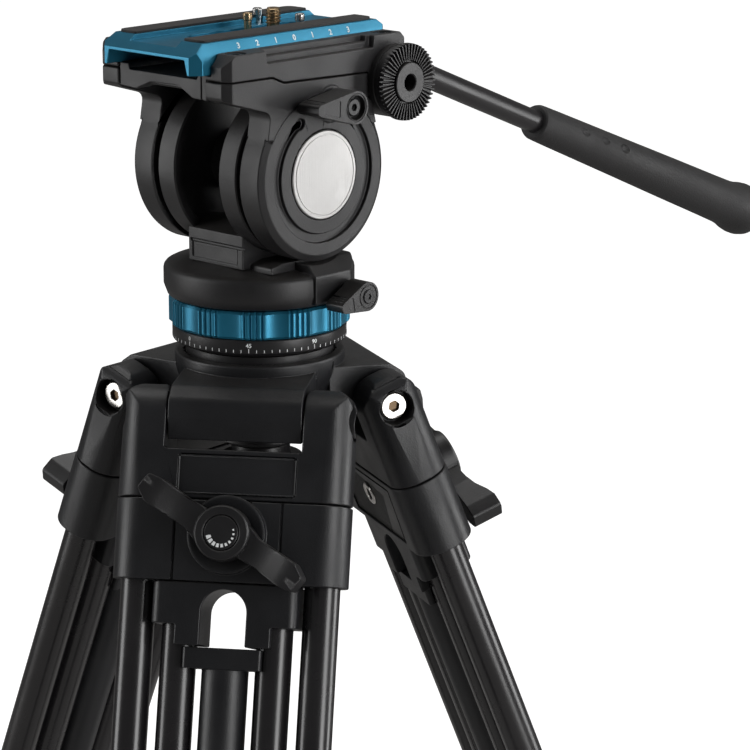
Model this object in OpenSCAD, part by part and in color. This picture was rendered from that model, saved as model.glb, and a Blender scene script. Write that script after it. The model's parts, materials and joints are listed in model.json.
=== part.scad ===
// Video fluid head with quick-release plate and pan handle
// on a twin-tube tripod, legs retracted and spread.
// +Z up, lens side toward -Y, operator side toward +Y.

/* [Tripod] */
// Leg length from hinge pin to foot pin
leg_len = 718; // [600:1:900]
// Leg angle from vertical at full spread
spread = 21.3; // [15:0.1:28]
// Direction of the front leg about the vertical axis
leg_turn = -55; // [-90:1:0]
// Distance of the leg hinge pins from the centre
pivot_r = 42; // [36:0.5:60]
// Height of the foot pin above the ground
foot_pin_z = 15; // [10:0.5:25]
// Half spacing of the outer tubes
outer_t = 36.5; // [30:0.1:45]
// Half spacing of the inner tubes
inner_t = 18.9; // [14:0.1:24]
// Outer tube radius
outer_tube_r = 7.05; // [5:0.05:10]
// Inner tube radius
inner_tube_r = 7.1; // [5:0.05:10]
// Centre tube radius
centre_tube_r = 9.2; // [6:0.05:12]
// Tube wall
wall = 1.2; // [0.8:0.1:2]
// Half width of the leg castings
block_t = 46.5; // [40:0.5:55]

/* [Head] */
// Half width of the tilt platform
deck_x = 36; // [30:0.5:45]
// Radius of the tilt cheeks
cheek_r = 34.5; // [28:0.5:40]
// Height of the tilt axis above the bowl datum
tilt_z = 87.3; // [75:0.1:100]
// Radius of the pan housing
pan_r = 38.4; // [32:0.1:45]
// Radius of the drag ring
ring_r = 36.5; // [30:0.1:42]
// Badge radius
badge_r = 17.6; // [12:0.1:22]
// Quick-release plate length
plate_len = 106; // [80:1:140]
// Quick-release plate offset toward the front
plate_y = -6; // [-20:1:20]

/* [Pan handle] */
// Distance of the bend behind the rosette
bend_y = 65; // [30:1:100]
// Length from the bend to the grip end
handle_len = 317; // [200:1:400]
// Downward slope of the handle
handle_drop = 22; // [0:0.5:45]
// Handle tube radius
handle_r = 5.3; // [4:0.1:8]
// Radius of the accessory bore in the free rosette
accessory_r = 3.2; // [2:0.1:5]
// Radius of the bolt that clamps the handle
clamp_bolt_r = 2.6; // [2:0.1:4]

/* [Hidden] */
$fn = 64;
pivot_z = leg_len * cos(spread) + foot_pin_z;
base_z = pivot_z + 6.9;
ball_z = 11.5;
ball_r = 30;
rosette_y = 40;
rosette_z = 120;
handle_x = -55;
// corner screws of the tilt platform
deck_screw_x = 31.8;
deck_screw_r = 3.6;
deck_screw_z = 136.8;
// anti-twist pins of the plate
twist_pin_r = 1.9;
twist_pins_at = [[10, 14], [-14, 14]];
// lock lever axis below the hinge pin, and resting turn of two levers
lever_depth = 47;
lever_turn_b = 65;
lever_turn_c = 12;
// corner radius of the leg castings
casting_r = 11;
// finger panels round the drag ring
ring_panels = 12;
ring_panel_turn = -3.35;

// ---------- helpers ----------
module head() {
  translate([0, 0, base_z])
    children();
}

// leg frame: x outward, y sideways, z along the leg (down is negative)
module leg(i) {
  rotate([0, 0, leg_turn + 120 * i])
    translate([pivot_r, 0, pivot_z])
      rotate([0, -spread, 0])
        children();
}

// cylinder along X from x0 to x1
module xcyl(r, x0, x1, y, z) {
  translate([x0, y, z])
    rotate([0, 90, 0])
      cylinder(r = r, h = x1 - x0);
}

// cylinder along Y from y0 to y1
module ycyl(r, y0, y1, x, z) {
  translate([x, y0, z])
    rotate([-90, 0, 0])
      cylinder(r = r, h = y1 - y0);
}

// box given by its two corners
module span(a, b) {
  translate(a)
    cube(b - a);
}

// side shape in (Y, Z) swept along X
module side_sweep(x0, x1) {
  translate([x0, 0, 0])
    rotate([90, 0, 90])
      linear_extrude(height = x1 - x0)
        children();
}

// front shape in (X, Z) swept along Y
module front_sweep(y0, y1) {
  translate([0, y1, 0])
    rotate([90, 0, 0])
      linear_extrude(height = y1 - y0)
        children();
}

// upright box with cylindrical corners
module round_box(x, y, z0, z1, r) {
  translate([0, 0, z0]) {
    translate([-x + r, -y, 0])
      cube([2 * (x - r), 2 * y, z1 - z0]);
    translate([-x, -y + r, 0])
      cube([2 * x, 2 * (y - r), z1 - z0]);
    for (sx = [-1, 1])
      for (sy = [-1, 1])
        translate([sx * (x - r), sy * (y - r), 0])
          cylinder(r = r, h = z1 - z0);
  }
}

// ---------- quick-release plate ----------
module qr_plate() {
  color([0.12, 0.42, 0.58])
  head()
  difference() {
    front_sweep(plate_y - plate_len / 2, plate_y + plate_len / 2)
      polygon([
        [-27.5, 134], [27.5, 134], [27.5, 136.5], [24.5, 143], [12.5, 143],
        [12.5, 141.6], [6.5, 141.6], [6.5, 143], [-6.5, 143], [-6.5, 141.6],
        [-12.5, 141.6], [-12.5, 143], [-24.5, 143], [-27.5, 136.5]
      ]);
    // chamfered corners
    for (sx = [-1, 1])
      for (sy = [-1, 1])
        translate([sx * 27.5, plate_y + sy * plate_len / 2, 120])
          rotate([0, 0, 45])
            translate([-5, -5, 0])
              cube([10, 10, 40]);
    // camera screw slot with a counterbore step
    span([-3.4, plate_y - 22, 130], [3.4, plate_y + 30, 150]);
    span([-7.6, plate_y - 26, 130], [7.6, plate_y + 34, 137.2]);
    // seats for the pins
    for (p = twist_pins_at)
      translate([p[0], p[1], 138])
        cylinder(r = twist_pin_r + 0.05, h = 20);
  }
}

module qr_pads() {
  color([0.09, 0.09, 0.09])
  head()
  for (sx = [-1, 1])
    difference() {
      span([sx * 18.5 - 5.2, plate_y - 47, 143], [sx * 18.5 + 5.2, plate_y + 47, 144]);
      translate([sx * 24.5, plate_y - 47, 140])
        rotate([0, 0, 45])
          cube([4, 4, 20], center = true);
      // holes for the anti-twist pins
      for (p = twist_pins_at)
        translate([p[0], p[1], 140])
          cylinder(r = twist_pin_r + 0.3, h = 10);
    }
}

module camera_screw() {
  color([0.74, 0.74, 0.72])
  head()
  translate([0, 9, 0])
    difference() {
      union() {
        translate([0, 0, 134.6])
          cylinder(r = 7.1, h = 2.4);
        translate([0, 0, 136])
          cylinder(r = 3, h = 9);
        translate([0, 0, 144.2])
          cylinder(r = 3.175, h = 4.6);
      }
      translate([-0.7, -8, 134])
        cube([1.4, 16, 1.8]);
    }
}

module video_pin() {
  color([0.72, 0.6, 0.38])
  head()
  translate([0, -5, 0])
    union() {
      translate([0, 0, 135])
        cylinder(r = 4.6, h = 2);
      translate([0, 0, 136])
        cylinder(r = 2, h = 12);
    }
}

module twist_pins() {
  color([0.78, 0.78, 0.78])
  head()
  for (p = twist_pins_at)
    translate([p[0], p[1], 138.1])
      cylinder(r = twist_pin_r, h = 8.6);
}

// ---------- tilt platform ----------
module deck_side() {
  polygon([
    [-51.5, 139], [-51.5, 122], [-49.6, 120.7], [-27, 114.4], [27, 114.4],
    [38, 118], [49, 122], [49, 134], [44, 139]
  ]);
}

module cheek_side() {
  union() {
    translate([0, tilt_z])
      circle(r = cheek_r);
    polygon([[-30.5, 103], [-25.5, 116], [26, 116], [31, 101]]);
  }
}

module platform() {
  color([0.13, 0.13, 0.14])
  head()
  difference() {
    union() {
      // floor between the jaws
      side_sweep(-deck_x, deck_x)
        polygon([[-51.5, 133.6], [-51.5, 123], [49, 123], [49, 133.6]]);
      // side jaws and skirts
      for (sx = [-1, 1])
        side_sweep(sx > 0 ? 24.6 : -deck_x, sx > 0 ? deck_x : -24.6)
          deck_side();
      // cheeks
      side_sweep(24.6, 35.2)
        cheek_side();
      side_sweep(-35.2, -24.6)
        cheek_side();
      // raised faces
      xcyl(31.6, 35, 37, 0, tilt_z);
      xcyl(31.6, -37, -35, 0, tilt_z);
      // tilt shaft
      xcyl(9, -25, 25, 0, tilt_z);
      // lever boss
      xcyl(7.2, 35, 37, 4, 114.8);
      // rosette barrels
      xcyl(14.6, 30, 41.8, rosette_y, rosette_z);
      xcyl(14.6, -41.8, -30, rosette_y, rosette_z);
    }
    // channel for the plate, open at both ends
    front_sweep(-60, 60)
      polygon([
        [-27.9, 133.6], [27.9, 133.6], [27.9, 136.4], [26.5, 139.5],
        [26.5, 150], [-26.5, 150], [-26.5, 139.5], [-27.9, 136.4]
      ]);
    // trough under the plate
    span([-18, -60, 130.4], [18, 60, 134]);
    // front lip cut
    front_sweep(-60, -48.5)
      polygon([[-12, 118], [-4, 125.2], [8, 125.2], [16, 118]]);
    // chamfered front and rear ends
    for (sx = [-1, 1])
      for (y = [-51.5, 49])
        translate([sx * deck_x, y, 100])
          rotate([0, 0, 45])
            translate([-3, -3, 0])
              cube([6, 6, 60]);
    // stepped side grooves
    for (sx = [-1, 1]) {
      span([sx * 35.5 - 2, -31, 134.4], [sx * 35.5 + 2, 28, 140]);
      span([sx * 34 - 2, -29, 136.8], [sx * 34 + 2, 26, 140]);
    }
    // corner screw seats
    for (sx = [-1, 1])
      for (y = [-42, 38])
        translate([sx * deck_screw_x, y, deck_screw_z])
          cylinder(r = deck_screw_r + 0.1, h = 10);
    // badge seats and the groove round them
    for (sx = [-1, 1]) {
      xcyl(badge_r + 0.1, sx > 0 ? 35.6 : -40, sx > 0 ? 40 : -35.6, 0, tilt_z);
    }
    difference() {
      xcyl(26.4, 36.1, 40, 0, tilt_z);
      xcyl(23.6, 36, 41, 0, tilt_z);
      span([30, -12, tilt_z], [45, 12, tilt_z + 40]);
    }
    // lever bolt bore
    xcyl(3.05, 30, 40, 4, 114.8);
    // lock knob bore and button bore
    xcyl(3.05, -37, -30, -6, 130.6);
    xcyl(3.05, -37, -30, 14, 130.6);
    // rosette seats
    xcyl(5, 28, 45, rosette_y, rosette_z);
    xcyl(clamp_bolt_r + 0.1, -45, -28, rosette_y, rosette_z);
    // room below the deck for the drums
    xcyl(35.4, -24.6, 24.6, 0, tilt_z);
  }
  color([0.13, 0.13, 0.14])
  head()
    xcyl(9, -24.7, 24.7, 0, tilt_z);
}

module deck_screws() {
  color([0.2, 0.2, 0.2])
  head()
  for (sx = [-1, 1])
    for (y = [-42, 38])
      translate([sx * deck_screw_x, y, deck_screw_z])
        difference() {
          cylinder(r = deck_screw_r, h = 1.8);
          translate([0, 0, 0.7])
            cylinder(r = 1.6, h = 3, $fn = 6);
        }
}

module plate_knob() {
  color([0.1, 0.1, 0.1])
  head()
  union() {
    xcyl(3, -38, -30.5, -6, 130.6);
    difference() {
      xcyl(8.2, -47, -37.4, -6, 130.6);
      for (a = [0 : 45 : 315])
        translate([-48, -6 + 9.2 * cos(a), 130.6 + 9.2 * sin(a)])
          rotate([0, 90, 0])
            cylinder(r = 2, h = 7);
    }
    span([-46, -24, 127.6], [-40, -10, 133.6]);
  }
}

module safety_button() {
  color([0.1, 0.1, 0.1])
  head()
  union() {
    xcyl(3, -38, -31.8, 14, 130.6);
    xcyl(4.6, -40.5, -37.4, 14, 130.6);
  }
}

module tilt_badge() {
  color([0.82, 0.82, 0.8])
  head() {
    for (sx = [-1, 1])
      difference() {
        xcyl(badge_r, sx > 0 ? 35.65 : -37.2, sx > 0 ? 37.2 : -35.65, 0, tilt_z);
        difference() {
          xcyl(badge_r - 1.2, sx > 0 ? 37 : -38, sx > 0 ? 38 : -37, 0, tilt_z);
          xcyl(badge_r - 1.7, sx > 0 ? 36 : -39, sx > 0 ? 39 : -36, 0, tilt_z);
        }
      }
  }
}

// ---------- pan body ----------
module head_body() {
  color([0.12, 0.12, 0.13])
  head()
  difference() {
    union() {
      for (sx = [-1, 1]) {
        xcyl(33.8, sx > 0 ? 12.3 : -22.2, sx > 0 ? 22.2 : -12.3, 0, tilt_z);
        xcyl(31, sx > 0 ? 12.3 : -24, sx > 0 ? 24 : -12.3, 0, tilt_z);
      }
      // saddle block
      side_sweep(-15.5, 15.5)
        polygon([[-24, 49.6], [24, 49.6], [24, 60], [16, 66], [-16, 66], [-24, 63]]);
      xcyl(13, -13, 13, 0, tilt_z);
    }
    // bore for the tilt shaft
    xcyl(9.05, -30, 30, 0, tilt_z);
    // front panel of the saddle
    span([-13.5, -26, 51.5], [13.5, -23.2, 59.4]);
    // clearance between the drums
    translate([0, 0, 66])
      span([-12.3, -40, 0], [12.3, -13.2, 60]);
    translate([0, 0, 66])
      span([-12.3, 13.2, 0], [12.3, 40, 60]);
  }
}

module pan_housing() {
  color([0.12, 0.12, 0.13])
  head()
  difference() {
    union() {
      rotate_extrude($fn = 96)
        polygon([
          [0, 35.1], [36.9, 35.1], [pan_r, 43], [pan_r, 46.3], [37.4, 48],
          [28.5, 49.5], [0, 49.5]
        ]);
      // ear for the pan lock
      front_sweep(-7, 19)
        polygon([[18, 36.2], [39.2, 36.2], [39.2, 47.6], [34, 53], [18, 53]]);
    }
    // keep the ear out of the tilting cheek
    xcyl(36.2, 10, 45, 0, tilt_z);
    // rounded rear corner of the ear
    translate([0, 0, 30])
      difference() {
        span([31.2, 11, 0], [50, 30, 30]);
        translate([31.2, 11, -1])
          cylinder(r = 8, h = 40);
      }
    // pan bearing bore
    translate([0, 0, 30])
      cylinder(r = 14.05, h = 14.2);
    // lever bolt bore
    xcyl(2.55, 30, 42, 10.5, 38.9);
    // seat of the bubble level
    translate([-14, 31, 45.6])
      cylinder(r = 5.05, h = 10);
  }
}

module bubble_level() {
  color([0.75, 0.85, 0.3])
  head()
  translate([-14, 31, 45.65])
    difference() {
      cylinder(r = 5, h = 4.6);
      translate([0, 0, 3.9])
        cylinder(r = 4, h = 2);
    }
}

// wedge-shaped lever: hub, tail toward -Y, axis along X
module lock_lever(x0, x1, r, tail) {
  union() {
    xcyl(r, x0, x1, 0, 0);
    side_sweep(x0, x1)
      polygon([
        [-r * 0.3, r * 0.954], [-tail, 1.6], [-tail - 0.8, 0],
        [-tail, -1.6], [-r * 0.3, -r * 0.954]
      ]);
  }
}

module tilt_lever() {
  color([0.1, 0.1, 0.1])
  head()
  translate([0, 4, 114.8])
    difference() {
      union() {
        lock_lever(37.5, 51, 6.6, 20);
        xcyl(3, 30.5, 38, 0, 0);
      }
      xcyl(4.7, 45.5, 52, 0, 0);
    }
  color([0.6, 0.6, 0.6])
  head()
  translate([0, 4, 114.8])
    difference() {
      xcyl(3.2, 45, 47.5, 0, 0);
      translate([46, 0, 0])
        rotate([0, 90, 0])
          cylinder(r = 1.5, h = 3, $fn = 6);
    }
}

module pan_lever() {
  color([0.1, 0.1, 0.1])
  head()
  translate([0, 10.5, 38.9])
    difference() {
      union() {
        lock_lever(39.8, 51, 5.9, 14.5);
        xcyl(2.5, 30.5, 40, 0, 0);
      }
      xcyl(3.3, 49.6, 52, 0, 0);
    }
  color([0.6, 0.6, 0.6])
  head()
  translate([0, 10.5, 38.9])
    difference() {
      xcyl(2.9, 49, 51.2, 0, 0);
      xcyl(0.9, 50, 52, 0, 0);
    }
}

module drag_ring() {
  color([0.1, 0.4, 0.55])
  head()
  translate([0, 0, 23])
    difference() {
      rotate_extrude($fn = 96)
        polygon([[26, 0], [35.6, 0], [ring_r, 0.9], [ring_r, 10.4], [35.6, 11.3], [26, 11.3]]);
      translate([0, 0, -1])
        cylinder(r = 28.05, h = 20);
      // finger panels with narrow grooves between them
      for (i = [0 : ring_panels - 1])
        rotate([0, 0, ring_panel_turn + i * 360 / ring_panels]) {
          translate([ring_r + 12.6, 0, -1])
            cylinder(r = 13.4, h = 20);
          for (k = [-1.5 : 1.5])
            rotate([0, 0, 15 + 3.6 * k])
              translate([ring_r - 0.7, -0.6, -1])
                cube([2, 1.2, 20]);
        }
    }
}

module scale_ring() {
  color([0.12, 0.12, 0.12])
  head()
  union() {
    difference() {
      rotate_extrude($fn = 96)
        polygon([
          [0, 14.6], [31, 14.6], [34.2, 16.4], [35.2, 17.4], [35.2, 22.7],
          [0, 22.7]
        ]);
      translate([0, 0, 10])
        cylinder(r = 5.05, h = 8);
    }
    // spigot that carries the drag ring
    translate([0, 0, 22])
      cylinder(r = 28, h = 12.6);
    // pan spindle
    translate([0, 0, 30])
      cylinder(r = 14, h = 13.6);
  }
}

// ---------- levelling ball ----------
module half_ball() {
  color([0.15, 0.15, 0.15])
  head()
  union() {
    intersection() {
      translate([0, 0, ball_z])
        sphere(r = ball_r, $fn = 96);
      translate([0, 0, ball_z - 26])
        cylinder(r = 40, h = 26);
    }
    translate([0, 0, ball_z - 2])
      cylinder(r = ball_r - 0.4, h = 5.05);
    // stud
    translate([0, 0, -45])
      cylinder(r = 4, h = 35);
  }
}

module level_cup() {
  color([0.15, 0.15, 0.15])
  head()
  difference() {
    intersection() {
      translate([0, 0, ball_z])
        sphere(r = 40.6, $fn = 96);
      translate([0, 0, -40])
        cylinder(r = 19, h = 30);
    }
    translate([0, 0, ball_z])
      sphere(r = 34.5, $fn = 96);
    translate([0, 0, -40])
      cylinder(r = 8, h = 30);
  }
}

module tie_knob() {
  color([0.1, 0.1, 0.1])
  head()
  difference() {
    union() {
      translate([0, 0, -35])
        cylinder(r = 12, h = 7.4);
      translate([0, 0, -50])
        cylinder(r = 17, h = 17);
    }
    translate([0, 0, -46])
      cylinder(r = 4.05, h = 30);
    // dished top face, concentric with the ball
    translate([0, 0, ball_z])
      sphere(r = 40.7, $fn = 96);
    for (a = [0 : 45 : 315])
      rotate([0, 0, a])
        translate([19.4, 0, -51])
          cylinder(r = 4.2, h = 14);
  }
}

// ---------- rosettes and handle ----------
module rosette(bore_r) {
  difference() {
    union() {
      cylinder(r = 15.4, h = 3);
      cylinder(r = 8, h = 3.8);
    }
    translate([0, 0, -1])
      cylinder(r = bore_r, h = 10);
    for (a = [0 : 10 : 350])
      rotate([0, 0, a])
        translate([8.4, -0.55, 1.9])
          cube([9, 1.1, 4]);
  }
}

module rosette_near() {
  color([0.1, 0.1, 0.1])
  head()
  translate([41.85, rosette_y, rosette_z])
    rotate([0, 90, 0])
      rosette(accessory_r);
}

module rosette_far() {
  color([0.1, 0.1, 0.1])
  head()
  translate([-41.85, rosette_y, rosette_z])
    rotate([0, -90, 0])
      rosette(clamp_bolt_r + 0.15);
}

module handle_rosette() {
  color([0.1, 0.1, 0.1])
  head()
  difference() {
    union() {
      translate([-49.7, rosette_y, rosette_z])
        rotate([0, 90, 0])
          rosette(clamp_bolt_r + 0.15);
      xcyl(11, -62, -49.5, rosette_y, rosette_z);
      // socket that holds the tube
      ycyl(7.6, rosette_y, rosette_y + 26, handle_x, rosette_z);
    }
    xcyl(clamp_bolt_r + 0.15, -70, -44, rosette_y, rosette_z);
    ycyl(handle_r + 0.02, rosette_y + 8, rosette_y + 30, handle_x, rosette_z);
  }
}

module handle_clamp() {
  color([0.1, 0.1, 0.1])
  head()
  union() {
    xcyl(clamp_bolt_r, -64, -32, rosette_y, rosette_z);
    difference() {
      xcyl(12, -74, -62.9, rosette_y, rosette_z);
      for (a = [0 : 60 : 300])
        translate([-75, rosette_y + 13.6 * cos(a), rosette_z + 13.6 * sin(a)])
          rotate([0, 90, 0])
            cylinder(r = 3.4, h = 14);
    }
  }
}

module on_handle() {
  translate([handle_x, rosette_y + bend_y, rosette_z])
    rotate([-90 - handle_drop, 0, 0])
      children();
}

module handle_tube() {
  color([0.1, 0.1, 0.1])
  head()
  union() {
    ycyl(handle_r, rosette_y + 8.1, rosette_y + bend_y, handle_x, rosette_z);
    // swaged elbow
    translate([handle_x, rosette_y + bend_y, rosette_z])
      sphere(r = handle_r + 0.7);
    on_handle()
      cylinder(r = handle_r, h = handle_len - 20);
  }
}

module handle_grip() {
  color([0.07, 0.07, 0.07])
  head()
  on_handle()
    difference() {
      translate([0, 0, 137])
        rotate_extrude($fn = 64)
          polygon([
            [0, 0], [7.2, 0], [8.3, 1.6], [8.8, 8], [10.9, 150], [11.2, 160],
            [13, 168], [13, 173], [11.6, 178], [8, 180], [0, 180]
          ]);
      translate([0, 0, 130])
        cylinder(r = handle_r + 0.05, h = handle_len - 149);
      for (z = [168, 184, 200])
        translate([9.6, -4, z])
          sphere(r = 2.6, $fn = 48);
    }
}

// ---------- tripod bowl ----------
module hinge_block_side() {
  polygon([
    [20, -13], [54.5, -13], [54.5, -6], [53, -0.5], [48.5, 4.2], [40, 7.2],
    [20, 8.4]
  ]);
}

module spider() {
  color([0.13, 0.13, 0.13])
  head()
  difference() {
    union() {
      translate([0, 0, 0])
        cylinder(r = 34.4, h = ball_z);
      intersection() {
        translate([0, 0, ball_z])
          sphere(r = 34.4, $fn = 96);
        translate([0, 0, -30])
          cylinder(r = 40, h = 41);
      }
      for (i = [0 : 2])
        rotate([0, 0, leg_turn + 120 * i])
          front_sweep(-26.6, 26.6)
            hinge_block_side();
    }
    // bowl
    translate([0, 0, ball_z])
      sphere(r = ball_r + 0.05, $fn = 96);
    translate([0, 0, ball_z - 0.02])
      cylinder(r = ball_r + 0.05, h = 20);
    translate([0, 0, -40])
      cylinder(r = 12, h = 40);
    // hinge pin bores
    for (i = [0 : 2])
      rotate([0, 0, leg_turn + 120 * i])
        ycyl(4.05, -30, 30, pivot_r, -6.9);
  }
}

// ---------- leg pieces, in the leg frame ----------
module shoulder() {
  color([0.13, 0.13, 0.14])
  difference() {
    intersection() {
      union() {
        for (sy = [-1, 1]) {
          // post
          ycyl(12, sy > 0 ? 27.2 : -45.5, sy > 0 ? 45.5 : -27.2, 0, 0);
          translate([0, sy * 36.35, 0])
            span([-12, -9.15, -33.4], [12, 9.15, 0]);
        }
        // crossbar
        span([-12, -28, -33.4], [12, 28, -14]);
      }
      round_box(12, 45.5, -40, 14, casting_r);
    }
    // hinge pin bores and bolt seats
    ycyl(4.02, -50, 50, 0, 0);
    ycyl(7, 38.4, 50, 0, 0);
    ycyl(7, -50, -38.4, 0, 0);
    // shallow front panel of the crossbar
    span([11.3, -23, -31], [13, 23, -16.5]);
  }
}

module bolt() {
  color([0.78, 0.78, 0.78])
  difference() {
    union() {
      ycyl(4, -39, 39, 0, 0);
      ycyl(5.6, 38.5, 41.6, 0, 0);
      ycyl(5.6, -41.6, -38.5, 0, 0);
    }
    for (sy = [-1, 1])
      translate([0, sy * 39.5, 0])
        rotate([-90 * sy, 0, 0])
          cylinder(r = 2.4, h = 4, $fn = 6);
  }
}

module clamp_block() {
  color([0.12, 0.12, 0.13])
  difference() {
    union() {
      round_box(12.4, block_t, -65.2, -33.5, casting_r);
      // central housing of the lock
      span([11, -21, -65.2], [14.2, 21, -35]);
      // base disc of the lever
      translate([14, 0, -lever_depth])
        rotate([0, 90, 0])
          cylinder(r = 15.2, h = 2.2);
    }
    for (t = [-outer_t, outer_t])
      translate([0, t, -66])
        cylinder(r = outer_tube_r + 0.02, h = 28);
    // lever spindle bore
    translate([2, 0, -lever_depth])
      rotate([0, 90, 0])
        cylinder(r = 3.05, h = 20);
    // recessed inner side
    span([-14, -24, -62], [-11.4, 24, -37]);
  }
}

module leg_lever(turn) {
  color([0.1, 0.1, 0.1])
  translate([16.6, 0, -lever_depth])
    rotate([turn, 0, 0])
      difference() {
        union() {
          rotate([0, 90, 0])
            cylinder(r = 10.8, h = 9.4);
          translate([-14, 0, 0])
            rotate([0, 90, 0])
              cylinder(r = 3, h = 15);
          // arms, thicker toward their ends
          difference() {
            side_sweep(0.4, 13.4)
              polygon([
                [-8, -7], [4, -10.5], [14, -13.5], [25, -20.5], [30, -22], [34, -17],
                [31.5, -11.5], [24, -7], [15, -2.5], [9.5, 4.5], [8, 7], [-4, 10.5],
                [-14, 13.5], [-25, 20.5], [-30, 22], [-34, 17], [-31.5, 11.5],
                [-24, 7], [-15, 2.5], [-9.5, -4.5]
              ]);
            translate([8.6, 0, 0])
              rotate([0, 90, 0])
                cylinder(r1 = 14, r2 = 26, h = 4.81);
          }
        }
        translate([8.6, 0, 0])
          rotate([0, 90, 0])
            difference() {
              cylinder(r = 7.6, h = 2);
              translate([0, 0, -1])
                cylinder(r = 6.6, h = 4);
            }
      }
}

module tube_pair(t, r, s0, s1) {
  for (y = [-t, t])
    translate([0, y, -s1])
      difference() {
        cylinder(r = r, h = s1 - s0);
        translate([0, 0, -1])
          cylinder(r = r - wall, h = s1 - s0 + 2);
      }
}

module outer_tubes() {
  color([0.1, 0.1, 0.11])
    tube_pair(outer_t, outer_tube_r, 39, 612);
}

module collar() {
  color([0.12, 0.12, 0.13])
  difference() {
    round_box(12, block_t, -628, -598, 5);
    for (t = [-outer_t, outer_t])
      translate([0, t, -613])
        cylinder(r = outer_tube_r + 0.02, h = 20);
    for (t = [-inner_t, inner_t])
      translate([0, t, -630])
        cylinder(r = inner_tube_r + 0.05, h = 40);
    span([-10.2, -16.2, -630], [10.2, 16.2, -590]);
  }
}

// arch bracket at the top of the middle stage
module yoke() {
  color([0.12, 0.12, 0.13])
  difference() {
    round_box(11.6, 28.8, -90, -65.6, 4);
    // shorter outer lobes
    span([-15, 18.9, -95], [15, 40, -82]);
    span([-15, -40, -95], [15, -18.9, -82]);
    // arch window
    span([-15, -9, -95], [15, 9, -77]);
    translate([-15, 0, -77])
      rotate([0, 90, 0])
        cylinder(r = 9, h = 30);
    for (t = [-inner_t, inner_t])
      translate([0, t, -91])
        cylinder(r = inner_tube_r + 0.02, h = 21);
  }
}

// lower collar of the middle stage, guides the centre tube
module mid_collar() {
  color([0.12, 0.12, 0.13])
  difference() {
    round_box(12, 28.8, -672, -644, 4);
    for (t = [-inner_t, inner_t])
      translate([0, t, -664])
        cylinder(r = inner_tube_r + 0.02, h = 30);
    translate([0, 0, -680])
      cylinder(r = centre_tube_r + 0.05, h = 50);
  }
}

module inner_tubes() {
  color([0.1, 0.1, 0.11])
    tube_pair(inner_t, inner_tube_r, 70.5, 663);
}

module centre_leg() {
  color([0.1, 0.1, 0.11])
  union() {
    // guide bracket
    difference() {
      round_box(9.6, 15.6, -98.8, -90.6, 1.5);
      for (t = [-inner_t, inner_t])
        translate([0, t, -100])
          cylinder(r = inner_tube_r + 0.5, h = 12);
    }
    difference() {
      translate([0, 0, -690])
        cylinder(r = centre_tube_r, h = 592);
      translate([0, 0, -680])
        cylinder(r = centre_tube_r - wall, h = 578);
    }
    // end fitting with the foot eye
    translate([0, 0, -700])
      cylinder(r1 = 7, r2 = centre_tube_r, h = 10.01);
    difference() {
      union() {
        span([-6.4, -3.8, -leg_len], [6.4, 3.8, -699]);
        ycyl(6.4, -3.8, 3.8, 0, -leg_len);
      }
      ycyl(2.55, -5, 5, 0, -leg_len);
    }
  }
}

// foot, upright on the ground, origin at its pin
module foot(i) {
  color([0.06, 0.06, 0.06])
  rotate([0, 0, leg_turn + 120 * i])
    translate([pivot_r + leg_len * sin(spread), 0, foot_pin_z])
      union() {
        difference() {
          translate([0, 0, -foot_pin_z])
            rotate_extrude($fn = 64)
              polygon([[0, 0], [18, 0], [19, 1.2], [18.2, 5], [12, 8], [0, 8]]);
          // grip rings underneath
          translate([0, 0, -foot_pin_z - 1])
            difference() {
              cylinder(r = 13, h = 2);
              translate([0, 0, -1])
                cylinder(r = 11, h = 5);
            }
        }
        for (sy = [-1, 1]) {
          span([-5.6, sy * 6.1 - 1.9, -8], [5.6, sy * 6.1 + 1.9, 0]);
          ycyl(5.6, sy * 6.1 - 1.9, sy * 6.1 + 1.9, 0, 0);
        }
        ycyl(2.5, -5, 5, 0, 0);
      }
}

module shoulder_a() { leg(0) shoulder(); }
module block_a() { leg(0) clamp_block(); }
module lever_a() { leg(0) leg_lever(0); }
module bolt_a() { leg(0) bolt(); }
module outer_tubes_a() { leg(0) outer_tubes(); }
module collar_a() { leg(0) collar(); }
module yoke_a() { leg(0) yoke(); }
module inner_tubes_a() { leg(0) inner_tubes(); }
module mid_collar_a() { leg(0) mid_collar(); }
module centre_leg_a() { leg(0) centre_leg(); }
module foot_a() { foot(0); }

module shoulder_b() { leg(1) shoulder(); }
module block_b() { leg(1) clamp_block(); }
module lever_b() { leg(1) leg_lever(lever_turn_b); }
module bolt_b() { leg(1) bolt(); }
module outer_tubes_b() { leg(1) outer_tubes(); }
module collar_b() { leg(1) collar(); }
module yoke_b() { leg(1) yoke(); }
module inner_tubes_b() { leg(1) inner_tubes(); }
module mid_collar_b() { leg(1) mid_collar(); }
module centre_leg_b() { leg(1) centre_leg(); }
module foot_b() { foot(1); }

module shoulder_c() { leg(2) shoulder(); }
module block_c() { leg(2) clamp_block(); }
module lever_c() { leg(2) leg_lever(lever_turn_c); }
module bolt_c() { leg(2) bolt(); }
module outer_tubes_c() { leg(2) outer_tubes(); }
module collar_c() { leg(2) collar(); }
module yoke_c() { leg(2) yoke(); }
module inner_tubes_c() { leg(2) inner_tubes(); }
module mid_collar_c() { leg(2) mid_collar(); }
module centre_leg_c() { leg(2) centre_leg(); }
module foot_c() { foot(2); }

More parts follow.
